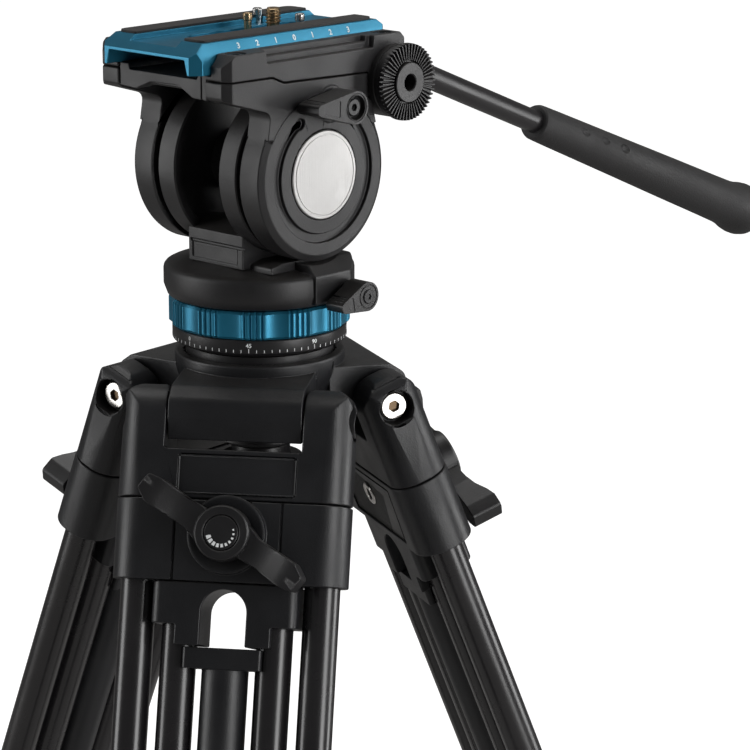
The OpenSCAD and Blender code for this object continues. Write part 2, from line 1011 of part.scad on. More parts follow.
qr_plate();
qr_pads();
camera_screw();
video_pin();
twist_pins();
platform();
deck_screws();
plate_knob();
safety_button();
tilt_badge();
head_body();
pan_housing();
bubble_level();
tilt_lever();
pan_lever();
drag_ring();
scale_ring();
half_ball();
level_cup();
tie_knob();
rosette_near();
rosette_far();
handle_rosette();
handle_clamp();
handle_tube();
handle_grip();
spider();
shoulder_a();
block_a();
lever_a();
bolt_a();
outer_tubes_a();
collar_a();
yoke_a();
inner_tubes_a();
mid_collar_a();
centre_leg_a();
foot_a();
shoulder_b();
block_b();
lever_b();
bolt_b();
outer_tubes_b();
collar_b();
yoke_b();
inner_tubes_b();
mid_collar_b();
centre_leg_b();
foot_b();
shoulder_c();
block_c();
lever_c();
bolt_c();
outer_tubes_c();
collar_c();
yoke_c();
inner_tubes_c();
mid_collar_c();
centre_leg_c();
foot_c();
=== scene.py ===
import json
import math

import bmesh
import bpy
from mathutils import Matrix, Vector


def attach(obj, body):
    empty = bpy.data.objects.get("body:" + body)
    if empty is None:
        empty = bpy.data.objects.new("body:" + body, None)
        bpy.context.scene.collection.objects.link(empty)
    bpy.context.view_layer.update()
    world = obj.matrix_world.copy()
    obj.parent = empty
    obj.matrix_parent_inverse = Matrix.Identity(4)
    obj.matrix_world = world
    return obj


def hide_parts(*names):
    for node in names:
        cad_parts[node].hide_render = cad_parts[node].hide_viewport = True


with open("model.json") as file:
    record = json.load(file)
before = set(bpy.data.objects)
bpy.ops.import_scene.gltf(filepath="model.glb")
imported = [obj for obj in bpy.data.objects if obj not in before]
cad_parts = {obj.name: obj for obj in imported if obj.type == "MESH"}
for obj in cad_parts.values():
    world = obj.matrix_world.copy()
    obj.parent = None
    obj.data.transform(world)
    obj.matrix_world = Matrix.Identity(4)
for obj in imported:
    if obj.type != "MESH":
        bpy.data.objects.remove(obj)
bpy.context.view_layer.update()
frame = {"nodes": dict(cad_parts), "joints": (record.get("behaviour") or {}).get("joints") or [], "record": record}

bl_info = {
    "name": "Video Tripod Looks",
    "version": (1, 0, 0),
    "blender": (4, 5, 0),
    "location": "View3D > Sidebar > Tripod",
    "description": "Detailed pieces, finishes and stage for a video head on a twin-tube tripod",
    "category": "Object",
}

JOINTS = {joint["name"]: joint for joint in frame["joints"]}
LEGS = "abc"

# Sizes in millimetres, in the head's own frame: X across, Y to the rear, Z above the bowl datum.
MM = 0.001
TILT_Z = 87.3
CHEEK_R = 34.5
JAW_X = 36.6
INNER_X = 24.7
SEAM = 0.5
ROSETTE_Y, ROSETTE_Z = 40.0, 120.0
HANDLE_X = -55.0
LEVER_DEPTH = -47.0
LEVER_TURNS = {"a": 0.0, "b": 65.0, "c": 12.0}
OUTER_TUBE = 36.5
PLATE_FRONT, PLATE_REAR = -59.0, 47.0
SCREW_Y, SPRUNG_PIN_Y = 9.0, -5.0
TWIST_PINS = ((10, 14), (-14, 14))
DECK_SCREW_X, DECK_SCREW_YS = 31.6, (-42, 38)
PLATFORM_FRONT, PLATFORM_REAR = -51.5, 49.0
BADGE_R = 17.6
GROOVE_IN, GROOVE_OUT = 23.4, 27.0
GROOVE_FLOOR, FACE_CLEAR = 35.3, 40.0
TILT_LEVER_AXIS = (4, 114.8)
PAN_LEVER_AXIS = (10.5, 38.9)
LEVEL_PLACE = (-14, 31)
RING_R, SCALE_R = 36.5, 35.2
FORK_HALF = 46.5

HEAD = Matrix.Translation(Vector(JOINTS["tilt"]["pos_m"]) - Vector((0, 0, TILT_Z * MM)))


def leg_frame(letter):
    """Leg frame: X outward, Y sideways, Z up along the leg, origin on the hinge pin."""
    hinge = JOINTS["leg_fold_" + letter]
    side = Vector(hinge["axis"]).normalized()
    up = -Vector(JOINTS["middle_slide_" + letter]["axis"]).normalized()
    turn = Matrix((side.cross(up), side, up)).transposed().to_4x4()
    return Matrix.Translation(Vector(hinge["pos_m"])) @ turn


# ---------------------------------------------------------------- shapes, in millimetres

def ring_faces(rows, steps, closed=True):
    """Faces between rows of points round an axis; closed joins the last row to the first."""
    faces = []
    for row in range(rows if closed else rows - 1):
        here, there = row * steps, (row + 1) % rows * steps
        faces += [[here + k, here + (k + 1) % steps, there + (k + 1) % steps, there + k]
                  for k in range(steps)]
    return faces


def solid(vertices, faces, name="part"):
    """Object made of the given vertices and faces, with its normals outward."""
    mesh = bpy.data.meshes.new(name)
    mesh.from_pydata([tuple(v) for v in vertices], [], faces)
    work = bmesh.new()
    work.from_mesh(mesh)
    bmesh.ops.remove_doubles(work, verts=work.verts, dist=1e-5)
    bmesh.ops.recalc_face_normals(work, faces=work.faces)
    work.to_mesh(mesh)
    work.free()
    obj = bpy.data.objects.new(name, mesh)
    bpy.context.scene.collection.objects.link(obj)
    return obj


def turned(along, height, a, b):
    """Point of a section (a, b) at a height along the named axis."""
    return {"X": (height, a, b), "Y": (a, height, b), "Z": (a, b, height)}[along]


def rounded(points, radius=0.0, steps=4):
    """Outline with arcs at its corners; a third number on a point is its own radius."""
    outline = []
    for index, point in enumerate(points):
        here = Vector(point[:2])
        back = Vector(points[index - 1][:2]) - here
        ahead = Vector(points[(index + 1) % len(points)][:2]) - here
        size = point[2] if len(point) > 2 else radius
        corner = back.angle(ahead)
        if size <= 0 or corner > 3.1:
            outline.append(tuple(here))
            continue
        reach = min(size / math.tan(corner / 2), back.length * 0.49, ahead.length * 0.49)
        size = reach * math.tan(corner / 2)
        middle = (back.normalized() + ahead.normalized()).normalized()
        centre = here + middle * size / math.sin(corner / 2)
        arm = here + back.normalized() * reach - centre
        end = here + ahead.normalized() * reach - centre
        sweep = math.copysign(math.pi - corner, arm.cross(end))
        for step in range(steps + 1):
            turn = sweep * step / steps
            outline.append((centre.x + arm.x * math.cos(turn) - arm.y * math.sin(turn),
                            centre.y + arm.x * math.sin(turn) + arm.y * math.cos(turn)))
    return outline


def circle(radius, centre=(0, 0), steps=64, start=0.0):
    return [(centre[0] + radius * math.cos(start + math.tau * k / steps),
             centre[1] + radius * math.sin(start + math.tau * k / steps)) for k in range(steps)]


def prism(outline, low, high, along="Z"):
    """Outline swept along an axis from low to high."""
    count = len(outline)
    vertices = [turned(along, level, *p) for level in (low, high) for p in outline]
    faces = [list(range(count)), list(range(count, 2 * count))]
    faces += [[k, (k + 1) % count, count + (k + 1) % count, count + k] for k in range(count)]
    return solid(vertices, faces)


def block(low, high):
    return prism([(low[0], low[1]), (high[0], low[1]), (high[0], high[1]), (low[0], high[1])],
                 low[2], high[2])


def lathe(profile, along="Z", centre=(0, 0), steps=72):
    """Profile of (radius, height) turned about an axis; a profile off the axis makes a ring."""
    vertices = []
    ring = profile[0][0] > 1e-6 or profile[-1][0] > 1e-6
    for radius, height in profile:
        vertices += [turned(along, height, *p) for p in circle(radius, centre, steps)]
    return tidy_poles(vertices, ring_faces(len(profile), steps, ring))


def tidy_poles(vertices, faces):
    """Solid from a turned grid, with the collapsed faces at its poles removed."""
    merged, keep = {}, []
    index = []
    for v in vertices:
        key = tuple(round(c, 5) for c in v)
        if key not in merged:
            merged[key] = len(keep)
            keep.append(v)
        index.append(merged[key])
    clean = []
    for face in faces:
        corners = []
        for k in face:
            if index[k] not in corners:
                corners.append(index[k])
        if len(corners) > 2:
            clean.append(corners)
    return solid(keep, clean)


def disc(radius, low, high, along="Z", centre=(0, 0), edge=0.0, steps=72):
    """Turned disc with both rims eased by edge."""
    profile = [(0, low), (radius - edge, low), (radius, low + edge), (radius, high - edge),
               (radius - edge, high), (0, high)]
    if edge <= 0:
        profile = [(0, low), (radius, low), (radius, high), (0, high)]
    return lathe(profile, along, centre, steps)


def combine(base, tools, operation="UNION"):
    """Base joined with, cut by or kept inside the tools; the tools are used up."""
    for tool in tools:
        change = base.modifiers.new("combine", "BOOLEAN")
        change.operation = operation
        change.solver = "EXACT"
        change.object = tool
    bpy.context.view_layer.update()
    shaped = base.evaluated_get(bpy.context.evaluated_depsgraph_get())
    mesh = bpy.data.meshes.new_from_object(shaped)
    base.modifiers.clear()
    base.data = mesh
    for tool in tools:
        bpy.data.objects.remove(tool)
    return base


def fuse(base, *tools):
    return combine(base, tools, "UNION")


def cut(base, *tools):
    return combine(base, tools, "DIFFERENCE")


def gather(parts):
    """One object holding the faces of several, left as separate shells."""
    work = bmesh.new()
    for part in parts:
        work.from_mesh(part.data)
    mesh = bpy.data.meshes.new("part")
    work.to_mesh(mesh)
    work.free()
    first = parts[0]
    first.data = mesh
    for part in parts[1:]:
        bpy.data.objects.remove(part)
    return first


def mirrored(make):
    """The shape make(side) for both sides of the head, as one object."""
    return gather([make(1), make(-1)])


def moved(obj, matrix):
    obj.data.transform(matrix)
    if matrix.determinant() < 0:
        obj.data.flip_normals()
    return obj


def from_cad(node, matrix):
    """Copy of a CAD node's shape, welded and freed of needless edges, in millimetres."""
    mesh = frame["nodes"][node].data.copy()
    mesh.materials.clear()
    mesh.transform(Matrix.Scale(1 / MM, 4) @ matrix.inverted())
    for layer in [a.name for a in mesh.attributes if a.name == "custom_normal"]:
        mesh.attributes.remove(mesh.attributes[layer])
    work = bmesh.new()
    work.from_mesh(mesh)
    bmesh.ops.remove_doubles(work, verts=work.verts, dist=1e-4)
    bmesh.ops.dissolve_limit(work, angle_limit=math.radians(0.5), verts=work.verts,
                             edges=work.edges)
    bmesh.ops.recalc_face_normals(work, faces=work.faces)
    work.to_mesh(mesh)
    work.free()
    obj = bpy.data.objects.new("part", mesh)
    bpy.context.scene.collection.objects.link(obj)
    return obj


# ---------------------------------------------------------------- finishing

def ease_edges(obj, width, steps=2, angle=30.0):
    """Smooth shading with sharp edges eased by a narrow bevel, width in metres."""
    mesh = obj.data
    mesh.shade_smooth()
    mesh.set_sharp_from_angle(angle=math.radians(angle))
    if width > 0:
        bevel = obj.modifiers.new("edges", "BEVEL")
        bevel.width = width
        bevel.segments = steps
        bevel.limit_method = "ANGLE"
        bevel.angle_limit = math.radians(angle)
        bevel.use_clamp_overlap = False
        bevel.harden_normals = True
        bevel.miter_outer = "MITER_ARC"
    return obj


def settle(obj, name, matrix, body, slot, finish, nodes=(), edge=0.35, angle=30.0, steps=2):
    """Names a piece, puts it in its frame in metres, and ties it to its body and finish."""
    obj.name = name
    obj.data.name = name
    obj.data.transform(Matrix.Scale(MM, 4))
    obj.matrix_world = matrix
    obj.data.materials.clear()
    obj.data.materials.append(FINISHES[finish])
    ease_edges(obj, edge * MM, steps, angle)
    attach(obj, body)
    if nodes:
        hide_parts(*nodes)
    return obj


def lever_place(letter):
    """Leg frame turned about the lock lever's axis to where that lever rests."""
    axis = Vector((0, 0, LEVER_DEPTH * MM))
    turn = Matrix.Rotation(math.radians(LEVER_TURNS[letter]), 4, "X")
    return leg_frame(letter) @ Matrix.Translation(axis) @ turn @ Matrix.Translation(-axis)


def settle_legs(obj, name, body, slot, finish, node="", edge=0.35, angle=30.0, steps=2,
                place=leg_frame):
    """One piece per leg, sharing a mesh made in the leg frame."""
    obj.data.transform(Matrix.Scale(MM, 4))
    obj.data.name = name
    obj.data.materials.clear()
    obj.data.materials.append(FINISHES[finish])
    ease_edges(obj, edge * MM, steps, angle)
    for letter in LEGS:
        piece = obj.copy()
        bpy.context.scene.collection.objects.link(piece)
        piece.name = name + "_" + letter
        piece.matrix_world = place(letter)
        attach(piece, body + "_" + letter)
        if node:
            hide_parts(node + "_" + letter)
    bpy.data.objects.remove(obj)


# ---------------------------------------------------------------- materials

FINISHES = {}


def link(tree, source, target):
    tree.links.new(source, target)


def add(tree, kind, **values):
    node = tree.nodes.new(kind)
    for key, value in values.items():
        if hasattr(node, key):
            setattr(node, key, value)
        else:
            node.inputs[key.replace("_", " ")].default_value = value
    return node


def group(name, inputs, outputs):
    """Empty shader node group with the given number inputs and outputs."""
    tree = bpy.data.node_groups.new(name, "ShaderNodeTree")
    for label, default in inputs:
        socket = tree.interface.new_socket(label, in_out="INPUT", socket_type="NodeSocketFloat")
        socket.default_value = default
    for label in outputs:
        tree.interface.new_socket(label, in_out="OUTPUT", socket_type="NodeSocketFloat")
    return tree, tree.nodes.new("NodeGroupInput"), tree.nodes.new("NodeGroupOutput")


def grain_group():
    """Fine surface texture: a height, a slow change of tone and small bright specks."""
    tree, given, result = group("Surface Grain", [("Fineness", 900.0), ("Stretch", 1.0)],
                                ["Height", "Tone", "Speck"])
    place = add(tree, "ShaderNodeTexCoord")
    stretch = add(tree, "ShaderNodeCombineXYZ", X=1.0, Y=1.0)
    link(tree, given.outputs["Stretch"], stretch.inputs["Z"])
    scaled = add(tree, "ShaderNodeVectorMath", operation="MULTIPLY")
    link(tree, place.outputs["Object"], scaled.inputs[0])
    link(tree, stretch.outputs[0], scaled.inputs[1])
    fine = add(tree, "ShaderNodeTexNoise", Detail=3.0, Roughness=0.6)
    link(tree, scaled.outputs[0], fine.inputs["Vector"])
    link(tree, given.outputs["Fineness"], fine.inputs["Scale"])
    slow = add(tree, "ShaderNodeTexNoise", Scale=38.0, Detail=4.0, Roughness=0.55)
    link(tree, place.outputs["Object"], slow.inputs["Vector"])
    dots = add(tree, "ShaderNodeTexVoronoi", Randomness=1.0)
    link(tree, scaled.outputs[0], dots.inputs["Vector"])
    link(tree, given.outputs["Fineness"], dots.inputs["Scale"])
    speck = add(tree, "ShaderNodeMapRange")
    speck.inputs["From Min"].default_value = 0.16
    speck.inputs["From Max"].default_value = 0.02
    link(tree, dots.outputs["Distance"], speck.inputs["Value"])
    tone = add(tree, "ShaderNodeMapRange")
    tone.inputs["From Min"].default_value = 0.36
    tone.inputs["From Max"].default_value = 0.66
    link(tree, slow.outputs[0], tone.inputs["Value"])
    link(tree, fine.outputs[0], result.inputs["Height"])
    link(tree, tone.outputs[0], result.inputs["Tone"])
    link(tree, speck.outputs[0], result.inputs["Speck"])
    return tree


def wear_group():
    """Mask of exposed edges, broken up by noise: rubbed wear, together with a painted highlight along the edges.
    """
    tree, given, result = group("Edge Wear And Highlight", [("Reach", 0.0009), ("Amount", 0.5)], ["Mask"])
    soft = add(tree, "ShaderNodeBevel", samples=4)
    link(tree, given.outputs["Reach"], soft.inputs["Radius"])
    flat = add(tree, "ShaderNodeNewGeometry")
    likeness = add(tree, "ShaderNodeVectorMath", operation="DOT_PRODUCT")
    link(tree, soft.outputs[0], likeness.inputs[0])
    link(tree, flat.outputs["Normal"], likeness.inputs[1])
    bend = add(tree, "ShaderNodeMapRange")
    bend.inputs["From Min"].default_value = 0.985
    bend.inputs["From Max"].default_value = 0.80
    link(tree, likeness.outputs["Value"], bend.inputs["Value"])
    place = add(tree, "ShaderNodeTexCoord")
    patches = add(tree, "ShaderNodeTexNoise", Scale=160.0, Detail=5.0, Roughness=0.7)
    link(tree, place.outputs["Object"], patches.inputs["Vector"])
    broken = add(tree, "ShaderNodeMapRange")
    broken.inputs["From Min"].default_value = 0.42
    broken.inputs["From Max"].default_value = 0.62
    link(tree, patches.outputs[0], broken.inputs["Value"])
    both = add(tree, "ShaderNodeMath", operation="MULTIPLY")
    link(tree, bend.outputs[0], both.inputs[0])
    link(tree, broken.outputs[0], both.inputs[1])
    scaled = add(tree, "ShaderNodeMath", operation="MULTIPLY")
    link(tree, both.outputs[0], scaled.inputs[0])
    link(tree, given.outputs["Amount"], scaled.inputs[1])
    link(tree, scaled.outputs[0], result.inputs["Mask"])
    return tree


def dust_group():
    """Mask of light dust on faces that look up."""
    tree, given, result = group("Light Dust", [("Amount", 0.2)], ["Mask"])
    face = add(tree, "ShaderNodeNewGeometry")
    parts = add(tree, "ShaderNodeSeparateXYZ")
    link(tree, face.outputs["Normal"], parts.inputs[0])
    upward = add(tree, "ShaderNodeMapRange")
    upward.inputs["From Min"].default_value = 0.45
    upward.inputs["From Max"].default_value = 1.0
    link(tree, parts.outputs["Z"], upward.inputs["Value"])
    place = add(tree, "ShaderNodeTexCoord")
    cloud = add(tree, "ShaderNodeTexNoise", Scale=120.0, Detail=6.0, Roughness=0.75)
    link(tree, place.outputs["Object"], cloud.inputs["Vector"])
    both = add(tree, "ShaderNodeMath", operation="MULTIPLY")
    link(tree, upward.outputs[0], both.inputs[0])
    link(tree, cloud.outputs[0], both.inputs[1])
    scaled = add(tree, "ShaderNodeMath", operation="MULTIPLY")
    link(tree, both.outputs[0], scaled.inputs[0])
    link(tree, given.outputs["Amount"], scaled.inputs[1])
    link(tree, scaled.outputs[0], result.inputs["Mask"])
    return tree


DUST_TONE = (0.42, 0.39, 0.35, 1.0)
SPECK_TONE = (0.3, 0.28, 0.26, 1.0)


def tint(colour, factor):
    """Colour made darker or lighter by a factor, with full opacity."""
    return tuple(min(1.0, c * factor) for c in colour[:3]) + (1.0,)


def colour_sockets(sockets):
    return [socket for socket in sockets if socket.type == "RGBA"]


def make_finish(name, groups, colour, rough, metallic=0.0, fineness=900.0, stretch=1.0,
                bump=0.12, vary=1.35, wear_and_highlight=0.0, dust=0.0, specks=0.0, coat=0.0, worn_and_highlit=2.6):
    """Material whose colour, roughness and relief come from grain, edge wear with a painted edge highlight, and
    dust.
    """
    material = bpy.data.materials.new(name)
    material.use_nodes = True
    tree = material.node_tree
    shader = tree.nodes["Principled BSDF"]
    shader.inputs["Metallic"].default_value = metallic
    shader.inputs["Coat Weight"].default_value = coat
    shader.inputs["Coat Roughness"].default_value = 0.2
    grain = add(tree, "ShaderNodeGroup", node_tree=groups["grain"])
    grain.inputs["Fineness"].default_value = fineness
    grain.inputs["Stretch"].default_value = stretch

    def mixed(factor, first, second):
        mix = add(tree, "ShaderNodeMix", data_type="RGBA")
        link(tree, factor, mix.inputs["Factor"])
        for source, socket in zip((first, second), colour_sockets(mix.inputs)):
            if isinstance(source, tuple):
                socket.default_value = source
            else:
                link(tree, source, socket)
        return colour_sockets(mix.outputs)[0]

    shade = mixed(grain.outputs["Tone"], tint(colour, 1 / vary), tint(colour, vary))
    if specks > 0:
        amount = add(tree, "ShaderNodeMath", operation="MULTIPLY")
        amount.inputs[1].default_value = specks
        link(tree, grain.outputs["Speck"], amount.inputs[0])
        shade = mixed(amount.outputs[0], shade, SPECK_TONE)
    if wear_and_highlight > 0:
        mask = add(tree, "ShaderNodeGroup", node_tree=groups["wear_and_highlight"])
        mask.inputs["Amount"].default_value = wear_and_highlight
        # Exposed edges lightened: partly rubbed wear, partly a painted highlight along the edges.
        shade = mixed(mask.outputs["Mask"], shade, tint(colour, worn_and_highlit))
    if dust > 0:
        mask = add(tree, "ShaderNodeGroup", node_tree=groups["dust"])
        mask.inputs["Amount"].default_value = dust
        shade = mixed(mask.outputs["Mask"], shade, DUST_TONE)
    link(tree, shade, shader.inputs["Base Color"])
    polish = add(tree, "ShaderNodeMapRange")
    polish.inputs["To Min"].default_value = rough * 0.86
    polish.inputs["To Max"].default_value = min(1.0, rough * 1.14)
    link(tree, grain.outputs["Tone"], polish.inputs["Value"])
    link(tree, polish.outputs[0], shader.inputs["Roughness"])
    relief = add(tree, "ShaderNodeBump", Strength=bump, Distance=0.0004)
    link(tree, grain.outputs["Height"], relief.inputs["Height"])
    link(tree, relief.outputs[0], shader.inputs["Normal"])
    FINISHES[name] = material


def make_vial(name, colour):
    """Tinted liquid under a clear window."""
    material = bpy.data.materials.new(name)
    material.use_nodes = True
    tree = material.node_tree
    shader = tree.nodes["Principled BSDF"]
    place = add(tree, "ShaderNodeTexCoord")
    cloud = add(tree, "ShaderNodeTexNoise", Scale=500.0, Detail=2.0)
    link(tree, place.outputs["Object"], cloud.inputs["Vector"])
    mix = add(tree, "ShaderNodeMix", data_type="RGBA")
    for socket, factor in zip(colour_sockets(mix.inputs), (0.85, 1.15)):
        socket.default_value = tint(colour, factor)
    link(tree, cloud.outputs[0], mix.inputs["Factor"])
    link(tree, colour_sockets(mix.outputs)[0], shader.inputs["Base Color"])
    shader.inputs["Roughness"].default_value = 0.08
    shader.inputs["Coat Weight"].default_value = 1.0
    shader.inputs["Coat Roughness"].default_value = 0.03
    FINISHES[name] = material


# ---------------------------------------------------------------- settings

def number(name, text, default, unit="NONE", **limits):
    return bpy.props.FloatProperty(name=name, description=text, default=default, unit=unit,
                                   **limits)


def shade(name, text, default):
    return bpy.props.FloatVectorProperty(name=name, description=text, default=default, size=3,
                                         subtype="COLOR", min=0.0, max=1.0)


class TripodFinishSettings(bpy.types.PropertyGroup):
    """Colours and surface texture of the finishes."""
    anodised: shade("Anodised Blue", "Colour of the plate and drag ring", (0.018, 0.175, 0.285))
    casting: shade("Casting", "Colour of the head castings", (0.0115, 0.011, 0.012))
    leg_moulding: shade("Leg Mouldings", "Colour of the leg castings", (0.0095, 0.0097, 0.0112))
    tubing: shade("Tubing", "Colour of the anodised leg tubes", (0.012, 0.011, 0.012))
    rubber: shade("Rubber", "Colour of the grip, pads and feet", (0.012, 0.0115, 0.012))
    silver: shade("Badge", "Colour of the round side badges", (0.34, 0.335, 0.33))
    brass: shade("Brass", "Colour of the sprung pin", (0.60, 0.43, 0.25))
    paint: shade("Scale Paint", "Colour of the printed marks", (0.80, 0.82, 0.82))
    grain_size: number("Grain Fineness", "Cells of surface grain per metre", 1500.0, min=100.0)
    # Lightens exposed edges: rubbed wear together with a painted edge highlight.
    edge_wear: number("Edge Wear And Highlight", "How much exposed edges are rubbed pale", 0.45, min=0.0,
                      max=1.0)
    dust: number("Dust", "How much dust lies on faces that look up", 0.10, min=0.0, max=1.0)


class TripodShapeSettings(bpy.types.PropertyGroup):
    """Details of the pieces that the frame doesn't fix."""
    edge: number("Edge Softness", "Width of the eased edges, in millimetres", 0.45, min=0.0)
    mark_step: number("Mark Step", "Distance between plate marks, in millimetres", 10.0)
    thread_pitch: number("Thread Pitch", "Pitch of the camera screw, in millimetres", 1.27)
    ring_panels: bpy.props.IntProperty(name="Ring Panels", default=12, min=3,
                                       description="Hollow finger panels round the drag ring")
    rosette_teeth: bpy.props.IntProperty(name="Rosette Teeth", default=50, min=12,
                                         description="Radial teeth of each rosette")
    ring_gauge: number("Mark Height", "Height the printed marks stand proud, in millimetres",
                       0.05)


class TripodStageSettings(bpy.types.PropertyGroup):
    """Camera, floor and lights."""
    azimuth: number("Azimuth", "Direction of the camera about the tripod", math.radians(-46.35),
                    "ROTATION")
    elevation: number("Elevation", "Height angle of the camera", math.radians(14.39), "ROTATION")
    distance: number("Distance", "Distance of the camera from the bowl", 1.2606, "LENGTH")
    sideways: number("Sideways", "Offset of the camera to its right", 0.0466, "LENGTH")
    lens: number("Lens", "Focal length in millimetres on a 36 mm sensor", 149.2)
    key_power: number("Key Light", "Power of the large side light", 34.0, "POWER")
    surround: number("Surroundings", "Light from the plain surroundings", 0.13, min=0.0)
    floor_colour: shade("Floor", "Colour of the light the floor throws back", (0.40, 0.39, 0.38))


# ---------------------------------------------------------------- quick-release plate

def build_plate():
    front, rear = PLATE_FRONT, PLATE_REAR
    section = [(-27.4, 131.2), (-22.6, 131.2), (-21.2, 137), (21.2, 137), (22.6, 131.2),
               (27.4, 131.2), (27.4, 136.6), (24.5, 143), (12.9, 143), (12.9, 140.8),
               (-12.9, 140.8), (-12.9, 143), (-24.5, 143), (-27.4, 136.6)]
    plate = prism(section, front, rear, "Y")
    tools = [prism([(front - 1, 138.2), (front, 138.2), (front + 6.5, 143), (front + 6.5, 146),
                    (front - 1, 146)], -40, 40, "X"),
             prism([(rear + 1, 139.4), (rear, 139.4), (rear - 4.5, 143), (rear - 4.5, 146),
                    (rear + 1, 146)], -40, 40, "X")]
    for sx in (-1, 1):
        for y, sy in ((front, -1), (rear, 1)):
            tools.append(prism([(sx * 28.5, y + sy), (sx * 28.5, y - sy * 5.0),
                                (sx * 23, y + sy)], 120, 150))
    slot = rounded([(-3.4, -30), (3.4, -30), (3.4, 24), (-3.4, 24)], 3.3, 8)
    tools.append(prism(slot, 130, 150))
    seat = rounded([(-7.4, -34), (7.4, -34), (7.4, 28), (-7.4, 28)], 7.0, 8)
    tools.append(prism(seat, 139.6, 150))
    tools += [prism(circle(2.15, place, 32), 130, 150) for place in TWIST_PINS]
    return cut(plate, *tools)


def build_pads():
    """Two rubber strips, their outer corners cut back further than their inner ones."""
    pads = []
    for sx in (-1, 1):
        x0, x1 = sorted((sx * 13.5, sx * 23.9))
        outline = [(x0, -52), (x1, -52), (x1, 41.5), (x0, 41.5)]
        outer = 1 if sx > 0 else 0
        for corner in (outer, 3 - outer):
            outline[corner] += (3.2,)
        pads.append(prism(rounded(outline, 0.8, 3), 142.9, 144.0))
    pads[0] = cut(pads[0], prism(circle(2.5, TWIST_PINS[1], 32), 140, 150))
    return gather(pads)


def build_thread(shape):
    """Camera screw: threaded tip, plain shank, slotted flange."""
    steps, low, high, root, crest = 48, 142.4, 148.6, 2.62, 3.16
    rows = int((high - low) / shape.thread_pitch * 10)
    vertices = []
    for row in range(rows + 1):
        z = low + (high - low) * row / rows
        for k in range(steps):
            phase = ((z - low) / shape.thread_pitch - k / steps) % 1.0
            rise = max(0.0, 1 - abs(phase - 0.5) * 2.6)
            fade = min(1.0, (high - z) / 0.9)
            radius = root * (0.86 + 0.14 * fade) + (crest - root) * rise * fade
            vertices.append((radius * math.cos(math.tau * k / steps),
                             SCREW_Y + radius * math.sin(math.tau * k / steps), z))
    faces = ring_faces(rows + 1, steps, False)
    faces += [list(range(steps)), list(range(rows * steps, (rows + 1) * steps))]
    flange = disc(7.0, 134.7, 136.8, "Z", (0, SCREW_Y), 0.4)
    flange = cut(flange, block((-0.7, 0, 134), (0.7, 18, 135.9)))
    shank = disc(2.6, 136.6, 142.6, "Z", (0, SCREW_Y))
    return gather([solid(vertices, faces), flange, shank])


def pin(place, top, neck=1.55, head=1.95):
    return lathe([(0, 136.6), (neck, 136.6), (neck, top - 3.2), (head, top - 2.9),
                  (head, top - 0.5), (head - 0.45, top), (0, top)], "Z", place, 40)


def lettering(text, size, right, up, place, lift, weight):
    """Raised figures standing at a place, reading along right, with their top toward up."""
    curve = bpy.data.curves.new("figures", "FONT")
    curve.body = text
    curve.size = size
    curve.align_x = "CENTER"
    curve.align_y = "CENTER"
    curve.resolution_u = 4
    curve.extrude = lift
    curve.offset = weight
    text_object = bpy.data.objects.new("figures", curve)
    bpy.context.scene.collection.objects.link(text_object)
    bpy.context.view_layer.update()
    graph = bpy.context.evaluated_depsgraph_get()
    mesh = bpy.data.meshes.new_from_object(text_object.evaluated_get(graph))
    bpy.data.objects.remove(text_object)
    right, up = Vector(right).normalized(), Vector(up).normalized()
    turn = Matrix((right, up, right.cross(up))).transposed().to_4x4()
    mesh.transform(Matrix.Translation(Vector(place)) @ turn)
    obj = bpy.data.objects.new("figures", mesh)
    bpy.context.scene.collection.objects.link(obj)
    return obj


def build_plate_marks(shape):
    """Printed figures and ticks along the side flanks of the plate."""
    marks = []
    middle_y = -4.7
    for sx in (-1, 1):
        right = Vector((0, sx, 0))
        up = Vector((-sx * 2.9, 0, 6.4)).normalized()
        out = right.cross(up)
        for step in range(-3, 4):
            spot = Vector((sx * 25.95, middle_y + shape.mark_step * step, 139.8))
            marks.append(lettering(str(abs(step)), 3.2, right, up, spot + up * 0.75,
                                   shape.ring_gauge, 0.09))
            foot = spot - up * 2.0
            corners = [foot + right * a * 0.2 + up * b * 0.72 + out * c * shape.ring_gauge
                       for c in (-1, 1) for a, b in ((-1, -1), (1, -1), (1, 1), (-1, 1))]
            marks.append(solid(corners, [[0, 1, 2, 3], [4, 5, 6, 7], [0, 1, 5, 4], [1, 2, 6, 5],
                                         [2, 3, 7, 6], [3, 0, 4, 7]]))
    return gather(marks)


# ---------------------------------------------------------------- tilt platform

CHANNEL = [(-27.9, 130.8), (27.9, 130.8), (27.9, 136.9), (26.2, 140.2), (26.2, 152),
           (-26.2, 152), (-26.2, 140.2), (-27.9, 136.9)]
SEAM_LINE = [(PLATFORM_FRONT, 128.7), (-27.3, 128.4), (-21.1, 125.8), (25.2, 124.7)]


def corner_cuts():
    """Plan chamfers at the four corners of the platform."""
    cuts = []
    for sx in (-1, 1):
        for y, sy in ((PLATFORM_FRONT, -1), (PLATFORM_REAR, 1)):
            cuts.append(prism([(sx * (JAW_X + 1), y + sy), (sx * (JAW_X + 1), y - sy * 4),
                               (sx * (JAW_X - 4), y + sy)], 100, 150))
    return cuts


